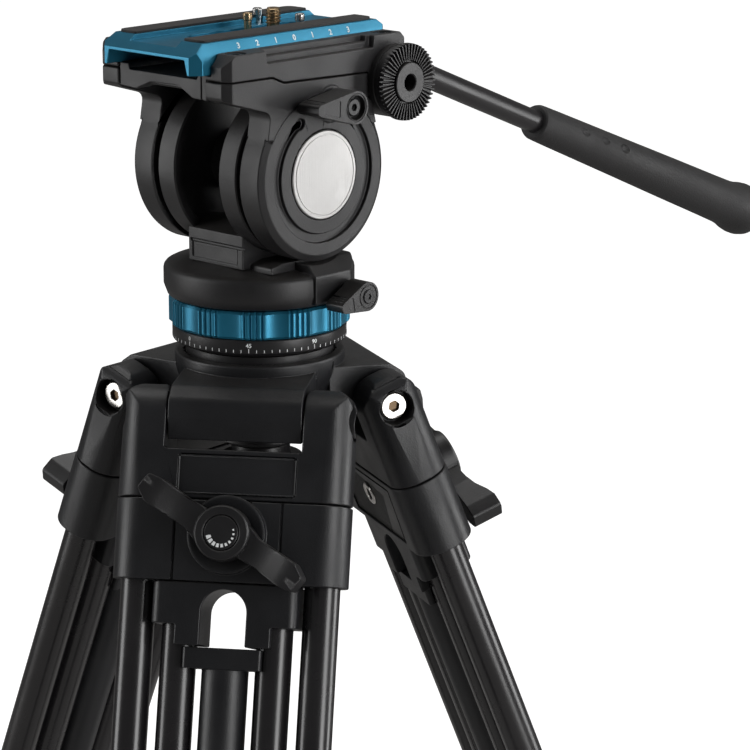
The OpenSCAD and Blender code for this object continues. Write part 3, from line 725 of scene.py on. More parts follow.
def build_jaw(sx):
    """Upper half of one side of the platform, behind and above the seam."""
    upper = [(y, z + SEAM / 2) for y, z in SEAM_LINE]
    outline = rounded([upper[0] + (0.8,), (PLATFORM_FRONT, 134.5, 0.8), (-47, 139, 0.8),
                       (43.8, 139, 0.8), (PLATFORM_REAR, 133.9, 0.8), (PLATFORM_REAR, 122.5, 3),
                       (38, 118.2, 4), (27.2, 114.9, 1),
                       (25.2 + SEAM, 115.6), (25.2 + SEAM, 124.7 + SEAM / 2)]
                      + [upper[2], upper[1]], 0, 4)
    x0, x1 = sorted((sx * INNER_X, sx * JAW_X))
    jaw = prism(outline, x0, x1, "X")
    tools = corner_cuts() + [prism(CHANNEL, -70, 70, "Y")]
    for depth, y0, y1, z in ((2.6, -31, 29, 134.2), (5.4, -29.4, 27, 136.6)):
        inner, outer = sorted((sx * (JAW_X - depth), sx * (JAW_X + 2)))
        tools.append(prism([(y0, z + 8), (y0 + 1.0, z), (y1 - 0.8, z), (y1, z + 8)],
                           inner, outer, "X"))
    for y in DECK_SCREW_YS:
        tools.append(prism(circle(4.0, (sx * DECK_SCREW_X, y), 40), 136.9, 150))
    return cut(jaw, *tools)


def cheek_disc(sx):
    """Round cheek with a broad chamfer round its outer face."""
    profile = [(0, sx * INNER_X), (CHEEK_R - 0.5, sx * INNER_X), (CHEEK_R, sx * (INNER_X + 0.5)),
               (CHEEK_R, sx * 35.1), (31.9, sx * 36.9), (0, sx * 36.9)]
    return lathe(profile, "X", (0, TILT_Z), 128)


def badge_groove(sx):
    """Ring round the badge, open at the top."""
    start, end, steps = math.radians(-238), math.radians(58), 72
    turns = [start + (end - start) * k / steps for k in range(steps + 1)]
    outer = [(GROOVE_OUT * math.cos(a), TILT_Z + GROOVE_OUT * math.sin(a)) for a in turns]
    inner = [(GROOVE_IN * math.cos(a), TILT_Z + GROOVE_IN * math.sin(a)) for a in reversed(turns)]
    x0, x1 = sorted((sx * GROOVE_FLOOR, sx * FACE_CLEAR))
    return prism(outer + inner, x0, x1, "X")


def groove_ends(sx):
    """Round pockets at the two ends of the ring."""
    x0, x1 = sorted((sx * GROOVE_FLOOR, sx * FACE_CLEAR))
    middle = 25.0
    return [prism(circle(2.3, (middle * math.cos(a), TILT_Z + middle * math.sin(a)), 32),
                  x0, x1, "X") for a in (math.radians(121), math.radians(59))]


def build_side(sx):
    """Lower half of one side: skirt, cheek and bosses."""
    lower = [(y, z - SEAM / 2) for y, z in SEAM_LINE]
    outline = rounded([lower[0] + (0.6,), (PLATFORM_FRONT, 122.2, 1.6), (-49.4, 120.8, 2.5),
                       (-28.2, 114.6, 3.5), (-30.0, 104.2), (30.0, 104.2), (27.6, 113.5, 1.5),
                       (25.2, 115.0), lower[3], lower[2], lower[1]], 0, 4)
    x0, x1 = sorted((sx * INNER_X, sx * JAW_X))
    side = prism(outline, x0, x1, "X")
    side = fuse(side, cheek_disc(sx))
    if sx > 0:
        side = fuse(side, disc(7.4, 30, 37.4, "X", TILT_LEVER_AXIS, 0.4, 48))
    seat_r = BADGE_R + 0.3
    seat = lathe([(0, sx * 35.9), (seat_r, sx * 35.9), (seat_r, sx * FACE_CLEAR),
                  (0, sx * FACE_CLEAR)], "X", (0, TILT_Z), 96)
    return cut(side, badge_groove(sx), *groove_ends(sx), seat,
               prism(CHANNEL, -70, 70, "Y"), *corner_cuts())


def build_badge(sx):
    """Plain round badge with a fine line turned near its rim."""
    profile = [(0, 36.0), (BADGE_R, 36.0), (BADGE_R, 37.0), (17.2, 37.3), (16.2, 37.3),
               (16.1, 37.12), (15.7, 37.12), (15.6, 37.3), (0, 37.35)]
    return lathe([(r, sx * x) for r, x in profile], "X", (0, TILT_Z), 128)


def build_bridge():
    """Floor between the jaws with its front lip and arch."""
    bridge = prism(rounded([(-48.5, 130.8), (-48.5, 123.6), (-42, 122.3), (44, 122.3),
                            (48.6, 124.6), (48.6, 130.8)], 0.8, 3),
                   -INNER_X, INNER_X, "X")
    lip = rounded([(-INNER_X, 130.9), (-INNER_X, 121.8), (-15.5, 121.3, 3), (-7, 124.9, 7),
                   (8.5, 125.2, 7), (16.5, 121.1, 3), (21.4, 120.9), (21.4, 130.9)], 0, 8)
    bridge = fuse(bridge, prism(lip, -50.6, -43.0, "Y"))
    end = prism(rounded([(22.0, 130.9), (22.0, 121.0, 1), (INNER_X + 0.05, 120.9),
                         (INNER_X + 0.05, 130.9)], 0, 4), -50.9, -43.0, "Y")
    trough = prism([(-19, 128.6), (19, 128.6), (20.5, 134), (-20.5, 134)], -70, 70, "Y")
    return cut(gather([bridge, end]), trough)


def build_barrel(sx):
    """Round boss that carries a rosette."""
    return lathe([(5, sx * 30), (13.8, sx * 30), (14.6, sx * 30.8), (14.6, sx * 38.9),
                  (14.2, sx * 39.2), (14.2, sx * 39.7), (14.6, sx * 40.0), (14.6, sx * 41.3),
                  (14.1, sx * 41.8), (5, sx * 41.8)], "X", (ROSETTE_Y, ROSETTE_Z), 96)


def build_deck_screw(place):
    """Socket screw sunk in a jaw's top."""
    head = disc(3.6, 137.0, 138.5, "Z", place, 0.3, 40)
    return cut(head, prism(circle(1.8, place, 6), 137.6, 140))


def build_rosette(teeth, bore=3.2, face=3.2, depth=1.7):
    """Toothed disc about Z, its back at zero, with a plain boss round its bore."""
    steps = teeth * 4
    rings = [(bore, 0.0, 0), (15.0, 0.0, 0), (15.4, 0.4, 0), (15.4, face - depth, 0),
             (15.2, face, depth), (8.7, face - 0.1, depth * 0.75), (8.5, face - depth, 0),
             (8.0, face - depth, 0), (8.0, 3.5, 0), (7.7, 3.8, 0), (bore + 0.4, 3.8, 0),
             (bore, 3.4, 0)]
    vertices = []
    for radius, height, drop in rings:
        for k in range(steps):
            turn = math.tau * k / steps
            vertices.append((radius * math.cos(turn), radius * math.sin(turn),
                             height - (drop if k % 4 > 1 else 0.0)))
    return solid(vertices, ring_faces(len(rings), steps))


def facing(x, y, z, toward):
    """Placement that points a shape's Z axis along +X or -X."""
    return Matrix.Translation((x, y, z)) @ Matrix.Rotation(toward * math.pi / 2, 4, "Y")


def wedge_lever(axis, x0, x1, hub, tail, droop, socket):
    """Short lock lever: hub about X, wedge tail to the front, raised panel on its face."""
    y, z = axis
    reach = Vector((-math.cos(droop), -math.sin(droop)))
    side = Vector((-reach.y, reach.x))
    tip = Vector((y, z)) + reach * (tail - 1.6)
    hub_arc = [(y + hub * math.cos(a), z + hub * math.sin(a))
               for a in (droop + math.radians(-112 + 224 * k / 24) for k in range(25))]
    ends = [tuple(tip - side * 2.3) + (1.2,), tuple(tip + reach * 1.6 - side * 1.4) + (1.0,),
            tuple(tip + reach * 1.6 + side * 1.4) + (1.0,), tuple(tip + side * 2.3) + (1.2,)]
    body = prism(rounded(hub_arc + ends, 0, 4), x0 + 2.0, x1, "X")
    collar = disc(hub - 0.9, x0, x0 + 3.0, "X", axis, 0.3)
    lever = fuse(body, collar)
    face = [tuple(Vector(axis) + reach * (hub + 2.2) + side * 3.4),
            tuple(Vector(axis) + reach * (hub + 2.2) - side * 3.4),
            tuple(Vector(axis) + reach * (tail - 3.2) - side * 1.2),
            tuple(Vector(axis) + reach * (tail - 3.2) + side * 1.2)]
    groove = lathe([(hub - 1.5, x1 - 0.35), (hub - 1.0, x1 - 0.35), (hub - 1.0, x1 + 1),
                    (hub - 1.5, x1 + 1)], "X", axis, 64)
    tools = [prism(rounded(face, 0.6, 4), x1 - 0.3, x1 + 1, "X"), groove]
    if socket > 0:
        tools.append(prism(circle(socket, axis, 48), x1 - 2.6, x1 + 1, "X"))
    upward = -side if side.y < 0 else side
    for k in range(3):
        spot = tip + reach * (0.2 - 1.5 * k) + upward * (2.5 + 0.28 * k)
        tools.append(prism(circle(0.42, spot, 12), x0 + 1, x1 - 1.2, "X"))
    return cut(lever, *tools)


def socket_screw(axis, x0, x1, radius, key):
    head = disc(radius, x0, x1, "X", axis, 0.3, 48)
    return cut(head, prism(circle(key, axis, 6), x1 - 1.3, x1 + 1, "X"))


# ---------------------------------------------------------------- pan body

def build_drum(sx):
    """Drum beside a cheek, with a raised rim at its inner side."""
    return lathe([(0, sx * 13.4), (29.5, sx * 13.4), (30.2, sx * 12.4), (33.2, sx * 12.4),
                  (33.8, sx * 13.0), (33.8, sx * 21.6), (33.3, sx * 22.1), (31, sx * 22.1),
                  (31, sx * 24.1), (0, sx * 24.1)], "X", (0, TILT_Z), 128)


def build_saddle():
    """Block under the drums with an upper band and a framed lower panel."""
    saddle = prism([(-24, 49.4), (24, 49.4), (24, 61), (16, 66.5), (-16, 66.5), (-24, 63)],
                   -15.5, 15.5, "X")
    waist = prism([(-24.5, 57.4), (-23.2, 57.4), (-23.2, 58.5), (-24.5, 58.5)], -14.2, 16, "X")
    panel = prism([(-24.5, 51.2), (-23.5, 51.2), (-23.5, 57.4), (-24.5, 57.4)], -13.2, 12.4, "X")
    saddle = cut(saddle, waist, panel)
    flange = rounded([(-20, 48.6), (20, 48.6), (20, 51.4, 1.2), (14, 52.6, 3), (-14, 52.6, 3),
                      (-20, 51.4, 1.2)], 0, 5)
    return fuse(saddle, prism(flange, 14.0, 27.6, "X"),
                prism(circle(13, (0, TILT_Z), 64), -14, 14, "X"))


def build_housing():
    """Low dome of the pan housing with the ear that holds the pan lock."""
    profile = [(0, 35.1), (36.4, 35.1), (37.0, 35.7), (38.4, 39.6), (38.4, 45.4), (38.2, 46.5),
               (37.6, 47.3), (36.6, 47.8), (34, 48.2), (30, 48.8), (24, 49.6), (0, 50.2)]
    housing = lathe(profile, "Z", (0, 0), 144)
    ear = prism(rounded([(16, 36.2), (39.1, 36.2, 1.0), (39.1, 47.4, 1.6), (33.4, 53.2, 2.5),
                         (16, 53.2)], 0, 5), -7, 19, "Y")
    corner = cut(block((30.5, 10.3, 30), (52, 32, 60)), disc(8.7, 29, 61, "Z", (30.5, 10.3)))
    ear = cut(ear, prism(circle(36.0, (0, TILT_Z), 128), 10, 50, "X"), corner)
    seat = disc(5.1, 45.6, 60, "Z", LEVEL_PLACE)
    pocket = disc(4.6, 38.0, 41, "X", PAN_LEVER_AXIS)
    return cut(fuse(housing, ear), seat, pocket)


def ring_radius(turn, shape, radius):
    """Outer radius of the drag ring: hollow finger panels with sharp ridges between them."""
    period = math.tau / shape.ring_panels
    phase = (turn + math.radians(3.35) + period / 2) % period - period / 2
    half = math.radians(7.4)
    if abs(phase) < half:
        return radius - 1.15 * (1 - (phase / half) ** 2) ** 0.8
    pitch = (period - 2 * half) / 4
    across = (phase - half) % period / pitch % 1.0
    return radius - 0.85 * max(0.0, 1 - abs(across - 0.5) * 2 / 0.62)


def build_drag_ring(shape):
    """Ring whose outer rows follow the finger panels, each by its own share."""
    steps = 1080
    levels = [(26.5, 23.1, 0), (35.3, 23.1, 0.5), (RING_R, 24.1, 1), (RING_R, 33.3, 1),
              (35.4, 34.3, 0.6), (33.0, 34.5, 0), (26.5, 34.5, 0)]
    vertices = []
    for radius, z, follow in levels:
        for k in range(steps):
            turn = math.tau * k / steps
            dip = (RING_R - ring_radius(turn, shape, RING_R)) * follow
            vertices.append(((radius - dip) * math.cos(turn), (radius - dip) * math.sin(turn), z))
    return solid(vertices, ring_faces(len(levels), steps))


def build_scale_ring():
    """Scale base with its upright face, and the spindle that carries the drag ring."""
    base = lathe([(0, 15.2), (30.4, 15.2), (31.2, 15.5), (34.2, 16.6), (35.0, 17.2),
                  (SCALE_R, 17.6), (SCALE_R, 22.4), (34.9, 22.7), (0, 22.7)], "Z", (0, 0), 144)
    return fuse(base, disc(28, 22, 34.6, "Z"))


def bent(obj, radius, middle, z):
    """Flat figures at X, Y wrapped onto an upright cylinder; X runs counter-clockwise."""
    for vertex in obj.data.vertices:
        x, y, lift = vertex.co
        turn = middle + x / radius
        vertex.co = ((radius + lift) * math.cos(turn), (radius + lift) * math.sin(turn), z + y)
    return obj


def build_scale_marks(shape):
    """Tick every five degrees and a figure every forty-five, wrapped on the scale's face."""
    marks = []
    lift = shape.ring_gauge
    zero, step_angle, figure_every = -96.3, 5, 9
    for step in range(360 // step_angle):
        turn = math.radians(zero + step_angle * step)
        numbered = step % figure_every == 0
        tick = block((-0.14, 0, -lift), (0.14, 1.7 if numbered else 1.2, lift))
        marks.append(bent(tick, SCALE_R, turn, 17.8))
        if numbered:
            figure = lettering(str(step_angle * step), 2.3, (1, 0, 0), (0, 1, 0), (0, 0, 0),
                               lift, 0.05)
            marks.append(bent(figure, SCALE_R, turn, 20.7))
    return gather(marks)


# ---------------------------------------------------------------- handle

def tube_along(path, radius, steps=40):
    """Round bar swept along a path of points that keeps to one plane across X."""
    vertices = []
    side = Vector((1, 0, 0))
    for index, here in enumerate(path):
        before = path[max(index - 1, 0)]
        after = path[min(index + 1, len(path) - 1)]
        forward = (Vector(after) - Vector(before)).normalized()
        across = forward.cross(side).normalized()
        for k in range(steps):
            turn = math.tau * k / steps
            arm = side * math.cos(turn) + across * math.sin(turn)
            vertices.append(Vector(here) + arm * radius)
    faces = ring_faces(len(path), steps, False)
    faces += [list(range(steps)), list(range((len(path) - 1) * steps, len(path) * steps))]
    return solid(vertices, faces)


BEND = Vector((HANDLE_X, ROSETTE_Y + 65, ROSETTE_Z))
DROP = math.radians(22)
ALONG = Vector((0, math.cos(DROP), -math.sin(DROP)))


def build_handle_bar():
    """Straight stretch from the socket, one bend, and the bar down into the grip."""
    radius = 34.0
    reach = radius * math.tan(DROP / 2)
    centre = BEND + Vector((0, -reach, -radius))
    path = [Vector((HANDLE_X, ROSETTE_Y + 8.2, ROSETTE_Z))]
    for k in range(13):
        turn = DROP * k / 12
        path.append(centre + Vector((0, math.sin(turn), math.cos(turn))) * radius)
    path.append(BEND + ALONG * 296)
    return tube_along(path, 5.3)


def build_grip():
    """Long tapered grip with a flared end and three finger dents."""
    profile = [(5.35, 137), (7.2, 137), (8.0, 137.5), (8.4, 138.6), (8.5, 141), (8.7, 150),
               (9.5, 200), (10.3, 245), (10.8, 280), (11.1, 294), (11.7, 299), (12.6, 303),
               (13.0, 306.5), (12.9, 310), (12.1, 313.4), (10.4, 315.8), (8.0, 316.8), (0, 317),
               (0, 297), (5.35, 297)]
    grip = lathe(profile, "Z", (0, 0), 96)
    dents = []
    for height in (166, 181.5, 197):
        ball = bmesh.new()
        bmesh.ops.create_uvsphere(ball, u_segments=32, v_segments=20, radius=2.6)
        mesh = bpy.data.meshes.new("dent")
        ball.to_mesh(mesh)
        ball.free()
        dent = bpy.data.objects.new("dent", mesh)
        bpy.context.scene.collection.objects.link(dent)
        dents.append(moved(dent, Matrix.Translation((9.7, -4.0, height))
                           @ Matrix.Diagonal((1.0, 1.0, 1.5, 1.0))))
    grip = cut(grip, *dents)
    turn = Matrix.Rotation(-math.pi / 2 - DROP, 4, "X")
    return moved(grip, Matrix.Translation(BEND) @ turn)


# ---------------------------------------------------------------- bowl

def build_bowl():
    """Bowl with its three hinge arms, hollowed for the levelling ball."""
    rim = [(28.4, 11.9), (33.9, 11.9), (34.4, 11.4), (34.4, 8.6), (33.9, 4.6), (32.7, 0.6),
           (30.6, -3.8), (27.0, -9.0), (22.0, -13.6), (16.0, -17.0), (11, -18.7), (11, -17.0),
           (18.8, -12.1), (24.7, -4.4), (27.9, 5.0)]
    bowl = lathe(rim, "Z", (0, 0), 128)
    outline = rounded([(20, -13), (54.6, -13), (54.4, -4.5, 4), (52.6, 2.6, 5), (46.4, 6.8, 4),
                       (33, 7.2), (20, 7.6)], 0, 8)
    arms = []
    for letter in LEGS:
        pivot = Vector(JOINTS["leg_fold_" + letter]["pos_m"])
        arm = prism(outline, -26.6, 26.6, "Y")
        arm = cut(arm, prism(circle(4.1, (42, -6.9), 48), -30, 30, "Y"))
        arms.append(moved(arm, Matrix.Rotation(math.atan2(pivot.y, pivot.x), 4, "Z")))
    shell = fuse(bowl, *arms)
    hollow = lathe([(0, -15.5), (12, -15.5), (20.2, -10.8), (26.0, -3.5), (29.3, 5.0),
                    (30.2, 11.3), (31.2, 12.4), (31.2, 20), (0, 20)], "Z", (0, 0), 128)
    return cut(shell, hollow, prism(circle(12, (0, 0), 64), -30, 0))


# ---------------------------------------------------------------- legs

def casting_plan(front=12.4):
    """Plan of the leg castings, with nearly half-round ends."""
    return rounded([(-12.4, -FORK_HALF, 11.4), (front, -FORK_HALF, 11.6), (front + 0.2, -21.3),
                    (front + 0.2, 21.3), (front, FORK_HALF, 11.6), (-12.4, FORK_HALF, 11.4)],
                   0, 12)


def build_shoulder():
    """Fork over the hinge block: two round posts and a crossbar with a sunk front panel."""
    front = rounded([(-46.4, -33.2), (-45.8, -6), (-45.5, 12.2, 9), (-27.2, 12.2, 3.5),
                     (-27.2, -13.8, 1.0), (27.2, -13.8, 1.0), (27.2, 12.2, 3.5),
                     (45.5, 12.2, 9), (45.8, -6), (46.4, -33.2)], 0, 10)
    body = prism(front, -12.2, 12.4, "X")
    side = rounded([(-12.2, -33.3), (12.4, -33.3), (12.2, 12.1, 11.6), (-12.0, 12.1, 11.6)], 0, 12)
    body = combine(body, [prism(side, -50, 50, "Y"), prism(casting_plan(), -40, 20)],
                   "INTERSECT")
    tools = [prism(circle(7.1, (0, 0), 64), *sorted((sy * 38.6, sy * 50)), "Y")
             for sy in (-1, 1)]
    tools.append(prism(circle(4.05, (0, 0), 48), -50, 50, "Y"))
    panel = rounded([(-21, -31.2), (25.5, -31.2), (25.5, -16.2), (-21, -16.2)], 0.8, 3)
    tools.append(prism(panel, 11.7, 14, "X"))
    return cut(body, *tools)


def build_clamp():
    """Clamp block: two joint lines on its face, a seat for the lever and a framed inner side."""
    body = prism(casting_plan(12.8), -65.2, -33.7)
    seat = lathe([(0, 10), (15.4, 10), (15.4, 15.6), (14.9, 16.1), (13.9, 16.1), (11.6, 14.9),
                  (0, 14.9)], "X", (0, LEVER_DEPTH), 96)
    body = fuse(body, seat)
    lines = [block((12.6, t - 0.3, -66), (14.2, t + 0.3, -33)) for t in (-21.0, 21.0)]
    under = [prism(circle(7.2, (0, t), 48), -70, -45) for t in (-OUTER_TUBE, OUTER_TUBE)]
    stud = prism(circle(3.05, (0, LEVER_DEPTH), 32), 2, 30, "X")
    frame_line = rounded([(-27.5, -62.6), (27.5, -62.6), (30, -36.6), (-30, -36.6)], 0.8, 3)
    panel = rounded([(-26.9, -62), (26.9, -62), (29.3, -37.2), (-29.3, -37.2)], 0.6, 3)
    groove = cut(prism(frame_line, -14, -11.2, "X"), prism(panel, -15, -10, "X"))
    inside = prism(panel, -14, -12.0, "X")
    return cut(body, *lines, *under, stud, groove, inside)


def build_lock_nut():
    """Steel nut of the lock, in the middle of the clamp's inner side."""
    nut = lathe([(2.6, -11), (2.6, -12.3), (3.0, -12.7), (4.6, -12.7), (5.0, -12.3), (5.0, -11)],
                "X", (0, LEVER_DEPTH), 48)
    return gather([nut, disc(2.6, -11.9, -11.2, "X", (0, LEVER_DEPTH))])


def build_lever():
    """Two-armed lever, swept up at its ends, with a round hub."""
    half = [(6.5, -9.2, 4), (13.6, -12.9, 6), (23.6, -19.6, 5), (28.8, -21.6, 1.8),
            (33.0, -16.2, 1.8), (30.0, -10.8, 3), (22.6, -6.4, 6), (14.6, -1.6, 6), (9.6, 4.4, 4)]
    outline = rounded(half + [(-p[0], -p[1], p[2]) for p in half], 0, 6)
    outline = [(y, z + LEVER_DEPTH) for y, z in outline]
    arms = prism(outline, 17.0, 34.0, "X")
    crown = lathe([(0, 16), (44, 16), (44, 28.2), (36, 30.2), (31, 30.2), (27, 28.9), (22, 26.3),
                   (17, 24.7), (13, 24.3), (9, 24.6), (0, 24.6)], "X", (0, LEVER_DEPTH), 96)
    arms = combine(arms, [crown], "INTERSECT")
    hub = lathe([(0, 16.7), (10.2, 16.7), (10.8, 17.3), (10.8, 25.0), (10.2, 25.9), (7.4, 26.0),
                 (7.0, 25.6), (7.0, 25.0), (0, 25.0)], "X", (0, LEVER_DEPTH), 96)
    return fuse(arms, hub)


def build_lever_cap():
    """Cap pressed into the lever's hub."""
    return lathe([(0, 24.8), (6.7, 24.8), (6.7, 25.5), (6.4, 25.8), (0, 25.9)], "X",
                 (0, LEVER_DEPTH), 72)


def build_lever_gauge(shape):
    """Row of growing bars round the cap that shows which way the lever tightens."""
    bars = []
    count, radius = 10, 5.0
    for k in range(count):
        middle = math.radians(-160 + 175 * k / (count - 1))
        width = math.radians(14.5 - 0.75 * k)
        reach = 1.9 - 0.14 * k
        inner, outer = radius - reach / 2, radius + reach / 2
        corners = [(inner, -width / 2), (outer, -width / 2), (outer, width / 2),
                   (inner, width / 2)]
        outline = [(r * math.cos(middle + a), LEVER_DEPTH + r * math.sin(middle + a))
                   for r, a in corners]
        bars.append(prism(outline, 25.8, 25.92 + shape.ring_gauge, "X"))
    return gather(bars)


def build_bolt(sy):
    """Round head of the hinge bolt with its hexagon socket."""
    head = lathe([(0, sy * 38.8), (5.6, sy * 38.8), (5.6, sy * 41.0), (5.1, sy * 41.5),
                  (0, sy * 41.5)], "Y", (0, 0), 64)
    return cut(head, prism(circle(2.45, (0, 0), 6), *sorted((sy * 39.2, sy * 43)), "Y"))


def build_bolt_socket(sy):
    """Floor of the bolt's socket."""
    return disc(2.5, *sorted((sy * 39.1, sy * 40.1)), "Y", (0, 0), 0.2, 36)


# ---------------------------------------------------------------- operators

class TRIPOD_OT_finishes(bpy.types.Operator):
    """Make every finish and give the plain frame nodes theirs"""
    bl_idname = "tripod.finishes"
    bl_label = "Finishes"
    bl_options = {"REGISTER", "UNDO"}

    def execute(self, context):
        finish = context.scene.tripod_finish
        # The edge group paints rubbed wear together with a painted highlight along the edges.
        groups = {"grain": grain_group(), "wear_and_highlight": wear_group(), "dust": dust_group()}
        grain, wear_and_highlight, dust = finish.grain_size, finish.edge_wear, finish.dust
        make_finish("blue_anodised", groups, finish.anodised, 0.36, 0.6, grain * 2.2, bump=0.06,
                    vary=1.08, wear_and_highlight=wear_and_highlight * 0.5, dust=dust * 0.4, worn_and_highlit=1.9)
        make_finish("pad_rubber", groups, finish.rubber, 0.72, 0.0, grain * 0.9, bump=0.35,
                    vary=1.25, specks=0.25, dust=dust)
        make_finish("screw_steel", groups, (0.62, 0.60, 0.57), 0.24, 1.0, grain, bump=0.05,
                    vary=1.12)
        make_finish("thread_brass", groups, tint(finish.brass, 0.5), 0.34, 1.0, grain, bump=0.05)
        make_finish("socket_brown", groups, (0.09, 0.062, 0.038), 0.3, 1.0, grain, bump=0.05)
        make_finish("pin_brass", groups, finish.brass, 0.25, 1.0, grain, bump=0.04, vary=1.1)
        make_finish("pin_steel", groups, (0.66, 0.65, 0.63), 0.2, 1.0, grain, bump=0.04, vary=1.08)
        make_finish("cast_black", groups, finish.casting, 0.46, 0.0, grain, bump=0.16, vary=1.18,
                    wear_and_highlight=wear_and_highlight, dust=dust)
        make_finish("screw_black", groups, (0.014, 0.014, 0.015), 0.3, 0.4, grain, bump=0.05,
                    vary=1.2, wear_and_highlight=wear_and_highlight)
        make_finish("knob_black", groups, tint(finish.casting, 0.85), 0.40, 0.0, grain * 1.2,
                    bump=0.14, vary=1.2, wear_and_highlight=wear_and_highlight, dust=dust)
        make_finish("badge_silver", groups, finish.silver, 0.36, 1.0, grain * 1.6, 0.04, bump=0.10,
                    vary=1.06)
        make_vial("vial", (0.45, 0.62, 0.10))
        make_finish("scale_black", groups, tint(finish.casting, 0.9), 0.36, 0.0, grain, bump=0.08,
                    vary=1.15, wear_and_highlight=wear_and_highlight, dust=dust)
        make_finish("handle_black", groups, finish.tubing, 0.30, 0.0, grain, bump=0.05, vary=1.2,
                    wear_and_highlight=wear_and_highlight, dust=dust * 0.5)
        make_finish("grip_rubber", groups, finish.rubber, 0.62, 0.0, grain * 0.8, bump=0.4,
                    vary=1.2, dust=dust * 0.7)
        make_finish("leg_plastic", groups, finish.leg_moulding, 0.40, 0.0, grain, bump=0.2,
                    vary=1.15, wear_and_highlight=wear_and_highlight * 0.8, dust=dust)
        make_finish("tube_black", groups, finish.tubing, 0.27, 0.0, grain, 0.03, bump=0.03,
                    vary=1.15, coat=0.3)
        make_finish("foot_rubber", groups, finish.rubber, 0.75, 0.0, grain * 0.7, bump=0.4,
                    vary=1.2, dust=dust * 1.5)
        make_finish("scale_paint", groups, finish.paint, 0.5, 0.0, grain, bump=0.03, vary=1.04)
        for entry in frame["record"]["subparts"]:
            for place in frame["nodes"][entry["node"]].material_slots:
                place.material = FINISHES[entry["material_slot"]]
        return {"FINISHED"}


class TRIPOD_OT_plate(bpy.types.Operator):
    """Build the quick-release plate with its pads, marks, screw and pins"""
    bl_idname = "tripod.plate"
    bl_label = "Quick-Release Plate"
    bl_options = {"REGISTER", "UNDO"}

    def execute(self, context):
        shape = context.scene.tripod_shape
        settle(build_plate(), "plate_body", HEAD, "quick_plate", "blue_anodised", "blue_anodised",
               ["qr_plate"], 0.3)
        settle(build_pads(), "plate_pads", HEAD, "quick_plate", "pad_rubber", "pad_rubber",
               ["qr_pads"], 0.3)
        settle(build_plate_marks(shape), "plate_marks", HEAD, "quick_plate", "blue_anodised",
               "scale_paint", edge=0)
        settle(gather([pin(place, 146.7) for place in TWIST_PINS]), "twist_pin_pair", HEAD,
               "quick_plate", "pin_steel", "pin_steel", ["twist_pins"], 0.1)
        settle(build_thread(shape), "camera_thread", HEAD, "camera_screw", "screw_steel",
               "thread_brass", ["camera_screw"], 0)
        settle(pin((0, SPRUNG_PIN_Y), 148.0), "sprung_pin", HEAD, "video_pin", "pin_brass",
               "pin_brass", ["video_pin"], 0.1)
        return {"FINISHED"}


class TRIPOD_OT_platform(bpy.types.Operator):
    """Build the tilt platform: jaws, cheeks, bridge, badges and screws"""
    bl_idname = "tripod.platform"
    bl_label = "Tilt Platform"
    bl_options = {"REGISTER", "UNDO"}

    def execute(self, context):
        shape = context.scene.tripod_shape
        edge = shape.edge
        for sx, side in ((1, "near"), (-1, "far")):
            settle(build_jaw(sx), "jaw_" + side, HEAD, "platform", "cast_black", "cast_black",
                   ["platform"], edge)
            settle(build_side(sx), "cheek_" + side, HEAD, "platform", "cast_black", "cast_black",
                   ["platform"], edge)
            settle(build_barrel(sx), "barrel_" + side, HEAD, "platform", "cast_black",
                   "cast_black", ["platform"], 0)
        settle(build_bridge(), "jaw_bridge", HEAD, "platform", "cast_black", "cast_black",
               ["platform"], edge)
        settle(lathe([(0, -24.8), (9, -24.8), (9, 24.8), (0, 24.8)], "X", (0, TILT_Z)),
               "tilt_shaft", HEAD, "platform", "cast_black", "cast_black", ["platform"], 0.2)
        for sx, side in ((1, "near"), (-1, "far")):
            settle(build_badge(sx), "badge_" + side, HEAD, "platform", "badge_silver",
                   "badge_silver", ["tilt_badge"], 0)
        screws = [build_deck_screw((sx * DECK_SCREW_X, y)) for sx in (-1, 1)
                  for y in DECK_SCREW_YS]
        settle(gather(screws), "corner_screws", HEAD, "platform", "screw_black", "screw_black",
               ["deck_screws"], 0.15)
        near = moved(build_rosette(shape.rosette_teeth), facing(41.85, ROSETTE_Y, ROSETTE_Z, 1))
        settle(near, "rosette_free", HEAD, "platform", "knob_black", "knob_black",
               ["rosette_near"], 0)
        far = moved(build_rosette(shape.rosette_teeth, 2.75),
                    facing(-41.85, ROSETTE_Y, ROSETTE_Z, -1))
        settle(far, "rosette_fixed", HEAD, "platform", "knob_black", "knob_black",
               ["rosette_far"], 0)
        return {"FINISHED"}


class TRIPOD_OT_locks(bpy.types.Operator):
    """Build the tilt and pan levers, the plate knob and the release button"""
    bl_idname = "tripod.locks"
    bl_label = "Lock Levers"
    bl_options = {"REGISTER", "UNDO"}

    def execute(self, context):
        settle(wedge_lever(TILT_LEVER_AXIS, 37.6, 50.8, 6.6, 20.8, math.radians(-3), 4.8),
               "tilt_lock_lever", HEAD, "tilt_lever", "knob_black", "knob_black", ["tilt_lever"],
               0.12)
        settle(socket_screw(TILT_LEVER_AXIS, 46.6, 49.6, 3.4, 1.5), "tilt_lock_screw", HEAD,
               "tilt_lever", "knob_black", "screw_black", edge=0.15)
        settle(wedge_lever(PAN_LEVER_AXIS, 39.8, 50.8, 5.9, 14.8, math.radians(12), 0),
               "pan_lock_lever", HEAD, "pan_lever", "knob_black", "knob_black", ["pan_lever"],
               0.12)
        settle(socket_screw(PAN_LEVER_AXIS, 50.0, 51.3, 2.9, 1.2), "pan_lock_screw", HEAD,
               "pan_lever", "knob_black", "screw_black", edge=0.15)
        settle(from_cad("plate_knob", HEAD), "plate_lock_knob", HEAD, "plate_knob", "knob_black",
               "knob_black", ["plate_knob"], 0.5)
        settle(from_cad("safety_button", HEAD), "release_button", HEAD, "safety_button",
               "knob_black", "knob_black", ["safety_button"], 0.5)
        return {"FINISHED"}


